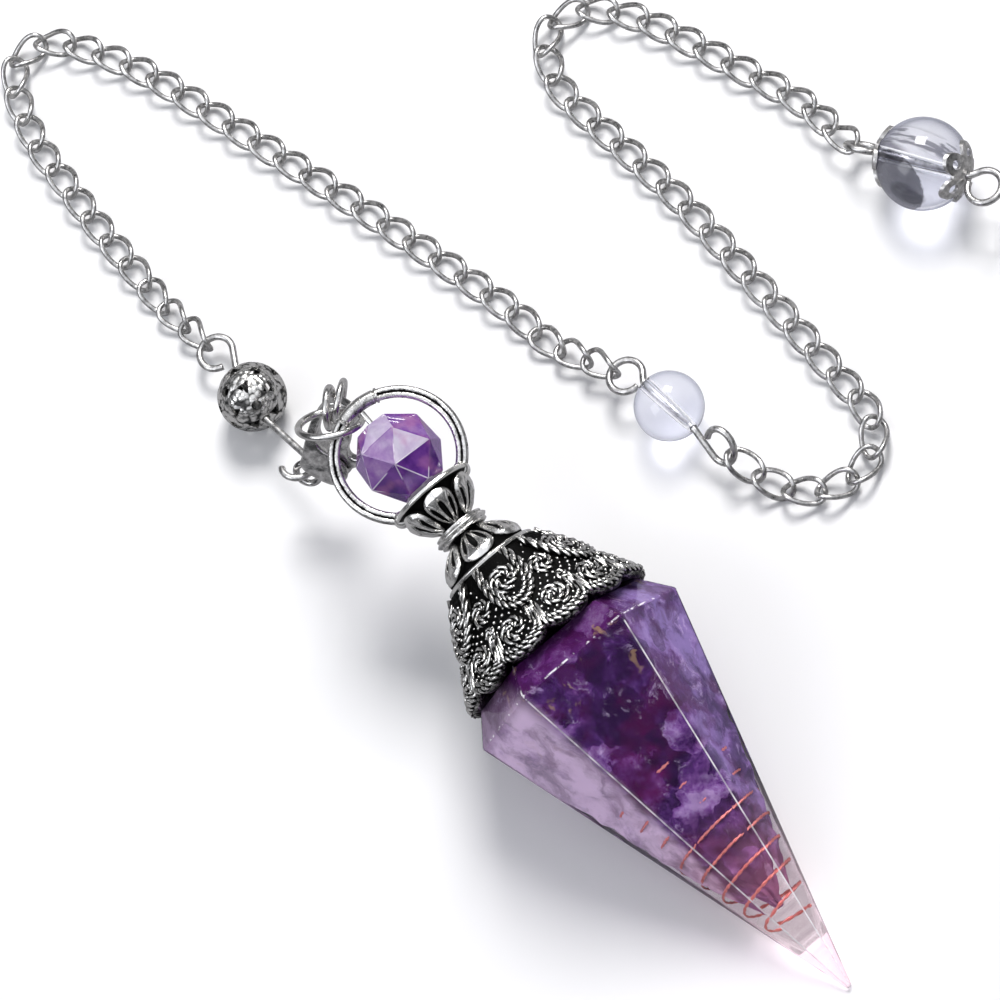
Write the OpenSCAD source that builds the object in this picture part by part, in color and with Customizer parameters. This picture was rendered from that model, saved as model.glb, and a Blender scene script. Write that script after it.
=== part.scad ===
// Pendulum pendant lying on a table: a six-sided resin point with amethyst and a copper coil,
// a cast silver cap and bail, and a fine twisted chain with three beads. Millimetres, Z up.
// The point lies on one of its six faces, so its axis climbs from the tip towards the cap.

/* [Stone] */
// Distance along the axis from the tip to the shoulder of the point
stone_l = 45.4; // [38:0.2:52]
// Radius of the point at its shoulder, across the corners
stone_r = 13.8; // [13:0.1:15]
// Height of the bevelled crown above the shoulder
crown_h = 6.6; // [4:0.2:7]
// Radius of the flat top of the crown, across the corners
crown_r = 8.9; // [6:0.1:9]
// Radius of the blunted tip, across the corners
tip_r = 0.35; // [0.2:0.05:0.8]
// Wall of clear resin round the amethyst
resin_wall = 1.2; // [0.8:0.1:2]
// Distance from the tip to the lowest amethyst
core_from = 12; // [10:0.5:20]
// Radius of the coil's wire
coil_wire_r = 0.28; // [0.2:0.02:0.34]
// Distance along the axis between two turns of the coil
coil_pitch = 2.7; // [2.2:0.1:3.2]
// Turns of the coil
coil_turns = 9; // [5:1:10]
// Distance from the tip to the first turn
coil_from = 9.5; // [8:0.5:11]

/* [Cap] */
// Height of the petalled cap, from its hem to its top
skirt_h = 11.3; // [10:0.1:13]
// Radius of the cap at its hem
hem_r = 12.3; // [11.8:0.1:12.4]
// Radius of the cap at its top
skirt_top_r = 5.5; // [5:0.1:6]
// Wall of the cap
skirt_wall = 0.8; // [0.6:0.05:1]
// Height of the lobes of the hem
lobe_h = 1.7; // [1:0.1:2.2]
// Height by which the upper petals and the ropes stand proud
relief_h = 0.5; // [0.3:0.05:0.6]
// Number of large petals in the upper tier; the hem has twice as many lobes
petal_n = 6; // [4:1:8]

/* [Bail] */
// Height of the lower lotus cup
lower_cup_h = 5.3; // [4.8:0.1:6.4]
// Height of the upper lotus cup
upper_cup_h = 5.5; // [5:0.1:6]
// Radius of the rim of the lower cup
lower_rim_r = 5.7; // [5:0.1:6.2]
// Radius of the rim of the upper cup
upper_rim_r = 4.9; // [4.6:0.1:5.2]
// Radius of the ring at the waist
waist_r = 3.2; // [2.8:0.1:3.6]
// Number of lotus petals on each cup
lotus_n = 6; // [5:1:8]
// Radius of the bail ring, to the middle of its metal
bail_r = 7.1; // [6.9:0.1:7.6]
// Width of the bail ring's metal, two round wires side by side
bail_w = 1.25; // [1:0.05:1.4]
// Radius of the collar at the top of the bail ring
collar_r = 0.8; // [0.72:0.02:0.9]
// Radius of the pin that carries the faceted bead
pin_r = 0.3; // [0.25:0.05:0.4]

/* [Beads] */
// Radius of the faceted bead, to its corners
gem_r = 5.15; // [4.6:0.05:5.2]
// Radius of the pierced bead
filigree_r = 4; // [3.6:0.1:4.4]
// Wall of the pierced bead
filigree_wall = 0.55; // [0.4:0.05:0.8]
// Radius of the clear bead in the middle of the chain
middle_r = 4; // [3.6:0.1:4.4]
// Radius of the clear bead at the end
end_r = 5.3; // [5:0.1:5.6]
// Clearance of a bead's hole round its pin
bore_gap = 0.12; // [0.08:0.02:0.2]
// Wall of the two bead caps
cap_wall = 0.35; // [0.25:0.05:0.5]

/* [Wire] */
// Radius of the wire of the eye pins
eye_wire_r = 0.4; // [0.32:0.02:0.44]
// Radius of an eye, to the middle of its wire
eye_r = 2; // [1.8:0.05:2.2]
// Radius of the wire of the chain's links
link_wire_r = 0.25; // [0.2:0.01:0.26]
// Length of a link, between the middles of its ends
link_l = 4.84; // [4.8:0.02:5]
// Width of a link, between the middles of its sides
link_w = 2.88; // [2.7:0.02:3]
// Pitch of the links along the chain
link_pitch = 4; // [3.9:0.02:4]
// Radius of the wire of the jump rings
jump_wire_r = 0.42; // [0.36:0.02:0.46]
// Radius of the two small jump rings, to the middle of their wire
jump_r = 2.25; // [2.1:0.05:2.4]
// Radius of the large jump ring, to the middle of its wire
link_ring_r = 3.6; // [3.4:0.05:3.8]

/* [Clasp] */
// Thickness of the clasp at its belly
clasp_t = 2.5; // [2.2:0.1:2.6]
// Thickness of the clasp at the top of its hook
hook_t = 1.5; // [1.2:0.1:1.6]
// Thickness of the clasp's lever
lever_t = 1.1; // [0.9:0.1:1.2]

/* [Hidden] */

$fn = 48;

// Gap between two pieces that sit on each other
seat = 0.08;
// A hexagon's flats lie at this share of its corners
flat = cos(30);
// The point lies on a face, so its axis climbs by this angle
lean = atan2((stone_r - tip_r) * flat, stone_l);

// Place of the collar on the table
collar_x = -29;
collar_y = 3.2;

// Stations along the axis, from the tip upwards; the hem stands this far above the shoulder
hem_up = 3.4;
crown_top = stone_l + crown_h;
hem_at = stone_l + hem_up;
skirt_top = hem_at + skirt_h;
finial_foot = skirt_top + seat;
waist_at = finial_foot + lower_cup_h;
finial_rim = waist_at + upper_cup_h;
// The ring meets the rim this far inside its edge
ring_foot_in = 0.4;
ring_foot_r = upper_rim_r - ring_foot_in;
ring_at = finial_rim + sqrt(bail_r * bail_r - ring_foot_r * ring_foot_r);
collar_at = ring_at + bail_r;
// The faceted bead sits a little below the middle of the ring
gem_down = 0.3;
gem_at = ring_at - gem_down;

// Place of the tip that brings the collar over its place on the table
tip_y = collar_y - collar_at * cos(lean);
tip_lift = tip_r * flat * cos(lean);
collar_point = [collar_x, collar_y, tip_lift + collar_at * sin(lean)];

// Place of the clasp's tail eye, measured from the collar
clasp_at = [-8.73, 4.11, -13.55];
clasp_point = collar_point + clasp_at;

function unit(v) = v / norm(v);
function reversed(list) = [for (i = [len(list) - 1 : -1 : 0]) list[i]];
function ease(x) = let (c = min(1, max(0, x))) c * c * (3 - 2 * c);
// A rounded ridge of height 1 and half width w about x = 0
function ridge(x, w) = abs(x) < w ? cos(90 * x / w) : 0;
// Angle from the nearest of n rays that start at angle from
function off_ray(angle, n, from = 0) =
    let (step = 360 / n, turn = (angle - from) / step) (turn - round(turn)) * step;

// Lays the pendant, drawn along +Z from its tip, on the table
module lay() {
    translate([collar_x, tip_y, tip_lift])
        rotate([lean - 90, 0, 0])
            children();
}

// Faces of a tube of rows by sides points; a closed one joins its last row to the first
function tube_faces(rows, sides, closed, from = 0) = concat(
    [for (i = [0 : rows - (closed ? 1 : 2)], k = [0 : sides - 1])
        let (a = from + i * sides, b = from + ((i + 1) % rows) * sides, l = (k + 1) % sides)
        each [[a + k, b + l, a + l], [a + k, b + k, b + l]]],
    closed ? [] : [[for (k = [0 : sides - 1]) from + k],
        [for (k = [sides - 1 : -1 : 0]) from + (rows - 1) * sides + k]]);

// Points round a closed ring of wire; each section's first point looks away from the middle
function ring_points(path, r, sides) =
    let (n = len(path), middle = [for (i = [0 : n - 1]) 1] * path / n)
    [for (i = [0 : n - 1])
        let (along = unit(path[(i + 1) % n] - path[(i + n - 1) % n]), out = path[i] - middle,
            u = unit(out - (out * along) * along), v = cross(along, u))
        for (k = [0 : sides - 1])
            path[i] + r * (cos(360 * k / sides) * u + sin(360 * k / sides) * v)];

// Directions along an open path, and the sideways direction carried along it without twist
function path_along(path) =
    [for (i = [0 : len(path) - 1]) unit(path[min(i + 1, len(path) - 1)] - path[max(i - 1, 0)])];
function path_side(along, first) =
    [for (i = 0, u = first; i < len(along);
        i = i + 1, u = i < len(along) ? unit(u - (u * along[i]) * along[i]) : u) u];

// A wire along an open path
module wire(path, r, sides, first = [0, 0, 1]) {
    along = path_along(path);
    start = unit(first - (first * along[0]) * along[0]);
    side = path_side(along, start);
    points = [for (i = [0 : len(path) - 1], k = [0 : sides - 1])
        path[i] + r * (cos(360 * k / sides) * side[i] + sin(360 * k / sides) * cross(along[i], side[i]))];
    polyhedron(points, tube_faces(len(path), sides, false), convexity = 6);
}

// A closed shell of revolution-like rows, capped with a fan at each end
module rows_solid(rows) {
    sides = len(rows[0]);
    polyhedron([for (row = rows) each row], tube_faces(len(rows), sides, false), convexity = 8);
}

// Outline of the six-sided point at a station, with a wall taken off its faces
function point_r(s) = s < stone_l
    ? tip_r + (stone_r - tip_r) * s / stone_l
    : stone_r + (crown_r - stone_r) * (s - stone_l) / crown_h;

module hexagonal(r_low, r_high, s_low, s_high) {
    translate([0, 0, s_low])
        cylinder(h = s_high - s_low, r1 = r_low, r2 = r_high, $fn = 6);
}

// Post of the finial that is glued into the stone
post_r = 1;
post_in = 2.4;
post_foot = crown_top - post_in;

// The coil runs up inside the faces of the point
coil_in = 0.85;
coil_steps = 10;
coil_sides = 4;
coil_end = coil_from + coil_turns * coil_pitch;
function coil_r(s) = point_r(s) * flat - coil_in;
coil_last = coil_turns * coil_steps;
function coil_at(i) = let (turned = i / coil_steps, s = coil_from + coil_pitch * turned)
    [coil_r(s) * cos(360 * turned), coil_r(s) * sin(360 * turned), s];
// Its void runs on past both of its ends
function coil_path(over) = [for (i = [0 : coil_last])
    coil_at(i) + (i == 0 ? over * unit(coil_at(0) - coil_at(1)) : [0, 0, 0])
        + (i == coil_last ? over * unit(coil_at(i) - coil_at(i - 1)) : [0, 0, 0])];

// The amethyst stands inside the coil, then widens to fill the point up to the crown
core_gap = 0.12;
core_down = 3.4;
core_top = crown_top - core_down;
core_step = 1.6;
coil_clear = 1;
function core_r(s) = coil_r(s) * cos(180 / coil_steps) - coil_wire_r - 2 * core_gap;
function full_r(s) = point_r(s) - resin_wall / flat;
module core_shape(grow) {
    wide = coil_end + coil_wire_r + coil_clear;
    hexagonal(core_r(core_from) + grow, core_r(wide) + grow, core_from - grow, wide);
    hexagonal(core_r(wide) + grow, full_r(wide + core_step) + grow, wide, wide + core_step);
    hexagonal(full_r(wide + core_step) + grow, full_r(stone_l) + grow, wide + core_step, stone_l);
    hexagonal(full_r(stone_l) + grow, full_r(core_top) + grow, stone_l, core_top + grow);
}

module resin_point() {
    color([0.62, 0.45, 0.68, 0.6])
        lay()
            difference() {
                union() {
                    hexagonal(tip_r, stone_r, 0, stone_l);
                    hexagonal(stone_r, crown_r, stone_l, crown_top);
                }
                translate([0, 0, post_foot])
                    cylinder(h = crown_top, r = post_r + bore_gap);
                core_shape(core_gap);
                wire(coil_path(core_gap), coil_wire_r + core_gap, coil_sides);
            }
}

module amethyst_core() {
    color([0.34, 0.16, 0.42])
        lay()
            core_shape(0);
}

module copper_coil() {
    color([0.75, 0.4, 0.28])
        lay()
            wire(coil_path(0), coil_wire_r, coil_sides);
}

// Outer radius of the cap at a station, before its relief
function skirt_r(t) = skirt_top_r + (hem_r - skirt_top_r) * (0.9 * t + 0.28 * t * (1 - t) + 0.1 * t * t);
lobe_n = 2 * petal_n;
// How far down the cap reaches at an angle, as a share of its height: rounded lobes
function hem_share(angle) =
    let (x = off_ray(angle, lobe_n, 90 + 180 / lobe_n) / (180 / lobe_n))
    1 - lobe_h / skirt_h * (1 - sqrt(1 - 0.9 * x * x));
// Where the edge of an upper petal lies at an angle
function petal_share(angle) =
    let (x = off_ray(angle, petal_n, 90) / (90 / petal_n * 1.35))
    abs(x) < 1 ? 0.6 * sqrt(1 - x * x) : 0;
function skirt_relief(angle, t) =
    let (petal = petal_share(angle), down = t - petal, hem = hem_share(angle) - t)
    relief_h * (0.9 * ease(-down / 0.07 + 0.5) * (petal > 0 ? 1 : 0) + 0.7 * ridge(down, 0.06)
        + ridge(hem - 0.04, 0.08));

skirt_sides = 64;
skirt_rows = 12;
// Outer rows from the top to the hem, then inner rows back up to the hole for the post
module cap_skirt() {
    outer = [for (j = [0 : skirt_rows])
        [for (k = [skirt_sides - 1 : -1 : 0])
            let (a = 360 * k / skirt_sides, t = hem_share(a) * j / skirt_rows,
                r = skirt_r(t) + (j == 0 ? 0 : skirt_relief(a, t)))
            [r * cos(a), r * sin(a), skirt_top - t * skirt_h]]];
    inner = [for (share = [1, 0.72, 0.42, 0.1])
        [for (k = [skirt_sides - 1 : -1 : 0])
            let (a = 360 * k / skirt_sides, t = hem_share(a) * share, r = skirt_r(t) - skirt_wall)
            [r * cos(a), r * sin(a), skirt_top - t * skirt_h - (share == 1 ? 0 : skirt_wall / 3)]]];
    color([0.42, 0.42, 0.42])
        lay()
            difference() {
                rows_solid(concat(outer, inner));
                translate([0, 0, crown_top])
                    cylinder(h = skirt_h, r = post_r + bore_gap);
            }
}

// Half profile of the two cups: [station, radius, bulge of the petals], from the foot upwards
cup_shape = [
    [0, 1, 0], [0.08, 1.02, 0], [0.16, 0.92, 0.1], [0.34, 0.8, 0.75], [0.56, 0.64, 1], [0.78, 0.47, 0.8],
    [0.93, 0.36, 0.2]];
cup_bulge = 0.75;
cup_core_r = 1.9;
// Petals: full along each ray of the lotus and falling away to dark gaps between them
function lotus(angle) =
    let (x = off_ray(angle, lotus_n, 90) / (180 / lotus_n)) sqrt(max(0, 1 - 1.15 * x * x));
function cup_row(rim_r, shape, s) =
    [for (k = [0 : finial_sides - 1])
        let (a = 360 * k / finial_sides,
            r = max(cup_core_r, rim_r * shape[1]) + cup_bulge * shape[2] * lotus(a))
        [r * cos(a), r * sin(a), s]];
function plain_row(r, s) =
    [for (k = [0 : finial_sides - 1]) let (a = 360 * k / finial_sides) [r * cos(a), r * sin(a), s]];

finial_sides = 48;
// The waist ring's height, and how far its two edges draw in
waist_t = 1.1;
waist_in = 0.5;
// The bowl follows the bead that turns above it
bowl_gap = 0.35;
bowl_r = gem_r + bowl_gap;
pin_well = 2.6;
pin_well_foot = finial_rim - pin_well;
module finial_body() {
    lower_h = lower_cup_h - waist_t / 2;
    upper_h = upper_cup_h - waist_t / 2;
    lower = [for (p = cup_shape) cup_row(lower_rim_r, p, finial_foot + p[0] * lower_h)];
    waist = [for (x = [-1, -0.6, 0.6, 1])
        plain_row(abs(x) == 1 ? waist_r - waist_in : waist_r, waist_at + x * waist_t / 2)];
    upper = [for (p = reversed(cup_shape)) cup_row(upper_rim_r, p, finial_rim - p[0] * upper_h)];
    rows_solid(concat(lower, waist, upper));
}

// The bail ring lies in the plane of the axis and of the table's X; angles are from the ring's +X
foot_angle = -asin((ring_at - finial_rim) / bail_r);
module bail_arc(from, to, r_offset, r) {
    translate([0, 0, ring_at])
        rotate([90, 0, 0])
            rotate([0, 0, from])
                rotate_extrude(angle = to - from)
                    translate([bail_r + r_offset, 0])
                        circle(r = r, $fn = 24);
}

// Its two wires run into each other, and their ends run into the rim; each foot has a round boss
bail_wire_r = 0.3 * bail_w;
foot_over = 4;
collar_half = 21;
boss_r = 0.95;
boss_in = 0.25;
boss_down = 0.35;
module bail_finial() {
    color([0.55, 0.55, 0.55])
        lay()
            difference() {
                union() {
                    finial_body();
                    for (side = [-1, 1]) {
                        bail_arc(foot_angle - foot_over, 180 - foot_angle + foot_over,
                            side * (bail_w / 2 - bail_wire_r), bail_wire_r);
                        translate([side * (ring_foot_r - boss_in), 0, finial_rim - boss_down])
                            sphere(r = boss_r, $fn = 24);
                    }
                    bail_arc(90 - collar_half, 90 + collar_half, 0, collar_r);
                    translate([0, 0, post_foot + bore_gap])
                        cylinder(h = waist_at - post_foot, r = post_r);
                }
                translate([0, 0, gem_at])
                    sphere(r = bowl_r);
                translate([0, 0, pin_well_foot])
                    cylinder(h = upper_cup_h, r = pin_r + bore_gap);
            }
}

module bail_pin() {
    top = collar_at - collar_r - seat;
    color("silver")
        lay()
            translate([0, 0, pin_well_foot + seat])
                cylinder(h = top - pin_well_foot - seat, r = pin_r);
}

// Star cut: a table at each end, and staggered rings of corners at these latitudes and steps
gem_sides = 6;
gem_turn = 18;
gem_rings = [[-58, 0.5], [-13, 0], [27, 0.5], [64, 0]];
function gem_row(angle, step) =
    [for (k = [0 : gem_sides - 1])
        let (a = gem_turn + 360 * (k + step) / gem_sides)
        [gem_r * cos(angle) * cos(a), gem_r * cos(angle) * sin(a), gem_r * sin(angle)]];
module faceted_bead() {
    color([0.55, 0.35, 0.75])
        lay()
            translate([0, 0, gem_at])
                difference() {
                    hull()
                        polyhedron([for (ring = gem_rings) each gem_row(ring[0], ring[1])],
                            tube_faces(len(gem_rings), gem_sides, false));
                    translate([0, 0, -gem_r])
                        cylinder(h = 2 * gem_r, r = pin_r + bore_gap);
                }
}

// Jump rings: centre measured from the collar, then the slope and the heading of the ring's axis
ring_places = [
    [-3.42, 1.23, -1.43, 44.7, 51.5],
    [-2.28, 4.38, -4.82, 94.7, -41.1],
    [-0.94, 3.98, -4.33, 103.5, -50]];
module jump_ring(place, r) {
    translate(collar_point + [place[0], place[1], place[2]])
        rotate([0, place[3], place[4]])
            rotate_extrude()
                translate([r, 0])
                    circle(r = jump_wire_r, $fn = 24);
}
module link_ring() {
    color("silver")
        jump_ring(ring_places[0], link_ring_r);
}
module jump_ring_1() {
    color("silver")
        jump_ring(ring_places[1], jump_r);
}
module jump_ring_2() {
    color("silver")
        jump_ring(ring_places[2], jump_r);
}

// A direction in a pin's frame, on the table
function from_pin(pin, v) =
    let (f = v[0] * cos(pin[4]) + v[2] * sin(pin[4]), h = pin[3])
    [f * cos(h) - v[1] * sin(h), f * sin(h) + v[1] * cos(h), v[2] * cos(pin[4]) - v[0] * sin(pin[4])];

// Each eye: its radius, how far its middle lies from the bead's, how far off the pin, its sweep, its
// twist and its lift
filigree_front_out = 4.1;
filigree_back_out = 8.6;
middle_front_out = 2.5;
middle_back_out = 3.8;
end_front_out = 2.6;
end_back_out = 2.9;
filigree_front = [eye_r, filigree_r + filigree_front_out, -0.7, 285, 180, 0.2];
filigree_back = [eye_r - 0.25, filigree_r + filigree_back_out, 0, 215, 200, 0];
middle_front = [eye_r, middle_r + middle_front_out, -0.8, 310, 180, -0.15];
middle_back = [eye_r - 0.1, middle_r + middle_back_out, -1, 300, -50, -0.25];
end_front = [eye_r, end_r + end_front_out, -0.6, 300, 60, 0];
end_back = [eye_r, end_r + end_back_out, -0.8, 310, 180, 0];

// The pierced bead rests on the table, and its pin climbs until its back eye passes through the
// clasp's tail eye, whose place in the pin's frame is this
tail_on_pin = [-filigree_back[1] - 1.444, -0.597, -0.279];
filigree_heading = 84;
filigree_dip = asin((clasp_point[2] - filigree_r) / norm([tail_on_pin[0], tail_on_pin[2]]))
    + atan2(-tail_on_pin[2], -tail_on_pin[0]);
filigree_away = from_pin([0, 0, 0, filigree_heading, filigree_dip], tail_on_pin);
// Each bead's pin: place and height of the bead, the pin's heading and dip, and how far it stays
// straight
straight_out = 0.3;
filigree_straight_out = 0.4;
filigree_pin = [clasp_point[0] - filigree_away[0], clasp_point[1] - filigree_away[1], filigree_r,
    filigree_heading, filigree_dip, filigree_r + filigree_straight_out];
middle_pin = [-2, -13.5, middle_r, 95, 0, middle_r + straight_out];
end_pin = [37.3, -11.4, end_r, 118, 9, end_r + cap_wall + straight_out];

// Pierced bead: round holes on the corners of an icosahedron and three-cornered ones on its faces
golden = (1 + sqrt(5)) / 2;
corners = [for (s = [-1, 1], t = [-golden, golden]) each [[0, s, t], [s, t, 0], [t, 0, s]]];
// Its neighbouring corners lie 2 apart, the others further
function meet(i, j) = norm(corners[i] - corners[j]) < 2.1;
face_corners = [for (i = [0 : 9], j = [i + 1 : 10], k = [j + 1 : 11])
    if (meet(i, j) && meet(j, k) && meet(i, k)) corners[i] + corners[j] + corners[k]];
hole_r = 0.62;
three_r = 0.95;
module drill(direction, r, sides) {
    rotate([0, acos(direction[2] / norm(direction)), atan2(direction[1], direction[0])])
        cylinder(h = 2 * filigree_r, r = r, $fn = sides);
}
module on_pin(pin) {
    translate([pin[0], pin[1], pin[2]])
        rotate([0, pin[4], pin[3]])
            children();
}
// Its poles lie on its bore
module filigree_bead() {
    color([0.5, 0.5, 0.5])
        on_pin(filigree_pin)
            rotate([0, 90, 0])
                difference() {
                    sphere(r = filigree_r);
                    sphere(r = filigree_r - filigree_wall);
                    rotate([0, -90, 0]) {
                        for (d = corners)
                            drill(d, hole_r, 24);
                        for (d = face_corners)
                            drill(d, three_r, 3);
                    }
                    cylinder(h = 4 * filigree_r, r = eye_wire_r + bore_gap, center = true);
                }
}

// One end of an eye pin, as [across, along] from the bead's middle: out of the bead, then round
// the eye
eye_steps = 14;
eye_sides = 8;
function eye_path(start, eye) =
    let (d = [-eye[2], start - eye[1]], facing = atan2(d[1], d[0]), turn = acos(eye[0] / norm(d)))
    concat([[0, start]], [for (i = [0 : eye_steps])
        let (a = facing + turn + eye[3] * i / eye_steps)
        [eye[2] + eye[0] * cos(a), eye[1] + eye[0] * sin(a)]]);
// The same points in the pin's frame: turned about the pin by the eye's twist, and lifted beyond
// the straight part
function on_axis(points, side, eye, start) = [for (p = points)
    [side * p[1], p[0] * cos(eye[4]), p[0] * sin(eye[4]) + eye[5] * max(0, p[1] - start)]];

// A wire pin that bends into an eye at each end
module eye_pin(start, front, back) {
    wire(concat(reversed(on_axis(eye_path(start, back), -1, back, start)),
        on_axis(eye_path(start, front), 1, front, start)), eye_wire_r, eye_sides);
}

// An eye's middle on the table, and the direction square to the eye
function eye_middle(pin, eye, side) =
    [pin[0], pin[1], pin[2]] + from_pin(pin, on_axis([[eye[2], eye[1]]], side, eye, pin[5])[0]);
function eye_square(pin, eye, side) =
    unit(from_pin(pin, cross([side, 0, eye[5]], [0, cos(eye[4]), sin(eye[4])])));

module filigree_eye_pin() {
    color([0.45, 0.45, 0.45])
        on_pin(filigree_pin)
            eye_pin(filigree_pin[5], filigree_front, filigree_back);
}

// The bead's poles lie on its bore
module clear_bead(r) {
    color([0.85, 0.88, 0.92, 0.5])
        rotate([0, 90, 0])
            difference() {
                sphere(r = r);
                cylinder(h = 3 * r, r = eye_wire_r + bore_gap, center = true);
            }
}
module middle_bead() {
    on_pin(middle_pin)
        clear_bead(middle_r);
}
module middle_eye_pin() {
    color([0.45, 0.45, 0.45])
        on_pin(middle_pin)
            eye_pin(middle_pin[5], middle_front, middle_back);
}

module end_bead() {
    on_pin(end_pin)
        clear_bead(end_r);
}

// Flower cap: thin petals on the end of the bead, each pierced by a round hole
flower_n = 5;
flower_r = 3.7;
petal_r = 1.3;
petal_hole_r = 0.55;
module flower_cap() {
    difference() {
        intersection() {
            difference() {
                sphere(r = end_r + seat + cap_wall);
                sphere(r = end_r + seat);
            }
            union() {
                cylinder(h = 2 * end_r, r = flower_r - petal_r);
                for (k = [0 : flower_n - 1])
                    rotate([0, 0, 360 * k / flower_n])
                        translate([flower_r - petal_r, 0, 0])
                            cylinder(h = 2 * end_r, r = petal_r);
            }
        }
        for (k = [0 : flower_n - 1])
            rotate([0, 0, 360 * k / flower_n])
                translate([flower_r - petal_r, 0, 0])
                    cylinder(h = 2 * end_r, r = petal_hole_r);
        cylinder(h = 2 * end_r, r = eye_wire_r + bore_gap);
    }
}
module end_cap_inner() {
    color([0.4, 0.4, 0.4])
        on_pin(end_pin)
            rotate([0, 90, 0])
                flower_cap();
}
module end_cap_outer() {
    color([0.4, 0.4, 0.4])
        on_pin(end_pin)
            rotate([0, -90, 0])
                flower_cap();
}
module end_eye_pin() {
    color([0.42, 0.42, 0.42])
        on_pin(end_pin)
            eye_pin(end_pin[5], end_front, end_back);
}

// The chains' chosen points on the table; their first and last links hang in the eyes
lie_z = 1.48;
long_points = [
    [-37.8, 38.6], [-37.7, 42.6], [-37.7, 50.7], [-37.3, 58.8], [-36.7, 66.5], [-34.4, 73.7], [-31.4, 76.2],
    [-27.4, 74.7], [-23.6, 68.3], [-20.8, 60.9], [-16.4, 44.3], [-12, 27.3], [-8.2, 10.6], [-7.1, 3.1]];
short_points = [
    [1.2, -27.9], [3.4, -31.1], [6.8, -33], [10.4, -33], [13.2, -30.9], [14.5, -27.7], [14.6, -21.1],
    [14.9, 3.6], [14.2, 14.3], [13.4, 23.4], [13.6, 28.3], [16.2, 33.3], [20.8, 33.2], [24, 29.9],
    [26.6, 24.8], [29.8, 15.1], [32.6, 5.8]];

// A smooth curve through the points after the first and before the last, which only steer its ends
curve_steps = 8;
function between(a, b, c, d, x) =
    0.5 * (2 * b + (c - a) * x + (2 * a - 5 * b + 4 * c - d) * x * x + (3 * b - a - 3 * c + d) * x * x * x);
function smooth_path(p) = concat([for (i = [1 : len(p) - 3], j = [0 : curve_steps - 1])
    between(p[i - 1], p[i], p[i + 1], p[i + 2], j / curve_steps)], [p[len(p) - 2]]);
function turn_at(path, i) = i < 1 || i > len(path) - 2 ? 0
    : let (a = unit(path[i] - path[i - 1]), b = unit(path[i + 1] - path[i])) acos(min(1, a * b));
function running_length(path) =
    [for (i = 0, s = 0; i < len(path);
        s = s + (i < len(path) - 1 ? norm(path[i + 1] - path[i]) + bunch * turn_at(path, i + 1) : 0),
        i = i + 1) s];

// One twisted link about its middle: its two ends tilt 45 degrees opposite ways
link_rows = 11;
link_sides = 5;
function link_path(at, along, roll) =
    let (flat_side = unit(cross([0, 0, 1], along)), up = cross(along, flat_side),
        v = cos(roll) * flat_side + sin(roll) * up, w = cos(roll) * up - sin(roll) * flat_side)
    [for (i = [0 : link_rows - 1])
        let (a = 360 * i / link_rows)
        at + link_l / 2 * cos(a) * along + link_w / 2 * sin(a) * v + link_w / 4 * sin(2 * a) * w];

// An end link's near end lies in the plane of its eye, this far inside the eye's wire
hang_gap = 0.2;
hang_in = eye_wire_r + link_wire_r + hang_gap;
function near_end(middle, square, r, toward) =
    let (out = toward - middle) middle + (r - hang_in) * unit(out - (out * square) * square);
// Its other end leans out of that plane towards the rest of the chain
hang_turn = 0.3;
function hang_at(near, square, toward) =
    let (out = toward - near) near + link_l / 2 * unit(out - hang_turn * (out * square) * square);
// It is rolled until its end stands square to the eye
function hang_roll(along, square, quarter) =
    let (flat_side = unit(cross([0, 0, 1], along)), up = cross(along, flat_side),
        roll = atan2(square * up, square * flat_side) + quarter) roll - 180 * round(roll / 180);

// Links stand at equal steps along the curve, closer in its bends
bunch = 0.008;
unroll = 4;
module chain(chosen, first_pin, first_eye, first_side, last_pin, last_eye) {
    lying = [for (p = chosen) [p[0], p[1], lie_z]];
    first_square = eye_square(first_pin, first_eye, first_side);
    last_square = eye_square(last_pin, last_eye, 1);
    first_at = near_end(eye_middle(first_pin, first_eye, first_side), first_square, first_eye[0], lying[0]);
    last_at = near_end(eye_middle(last_pin, last_eye, 1), last_square, last_eye[0], lying[len(lying) - 1]);
    first_hang = hang_at(first_at, first_square, lying[0]);
    last_hang = hang_at(last_at, last_square, lying[len(lying) - 1]);
    first_along = unit(first_hang - first_at);
    last_along = unit(last_at - last_hang);
    roll_first = hang_roll(first_along, first_square, 45);
    roll_last = hang_roll(last_along, last_square, -45);
    path = smooth_path(concat([first_at, first_hang], lying, [last_hang, last_at]));
    lengths = running_length(path);
    total = lengths[len(lengths) - 1];
    last = ceil(total / link_pitch - 0.25);
    place = [for (axis = [0 : 2]) [for (i = [0 : len(path) - 1]) [lengths[i], path[i][axis]]]];
    function spot(s) = [lookup(s, place[0]), lookup(s, place[1]), lookup(s, place[2])];
    links = [for (i = [0 : last])
        let (s = total * i / last, step = link_pitch / 4,
            along = i == 0 ? first_along : i == last ? last_along : unit(spot(s + step) - spot(s - step)),
            roll = roll_first * max(0, 1 - i / unroll) + roll_last * max(0, 1 - (last - i) / unroll))
        link_path(spot(s), along, roll)];
    polyhedron([for (link = links) each ring_points(link, link_wire_r, link_sides)],
        [for (i = [0 : last]) each tube_faces(link_rows, link_sides, true, i * link_rows * link_sides)],
        convexity = 10);
}
module chain_long() {
    color([0.6, 0.6, 0.6])
        chain(long_points, filigree_pin, filigree_front, 1, middle_pin, middle_front);
}
module chain_short() {
    color([0.6, 0.6, 0.6])
        chain(short_points, middle_pin, middle_back, -1, end_pin, end_front);
}

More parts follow.
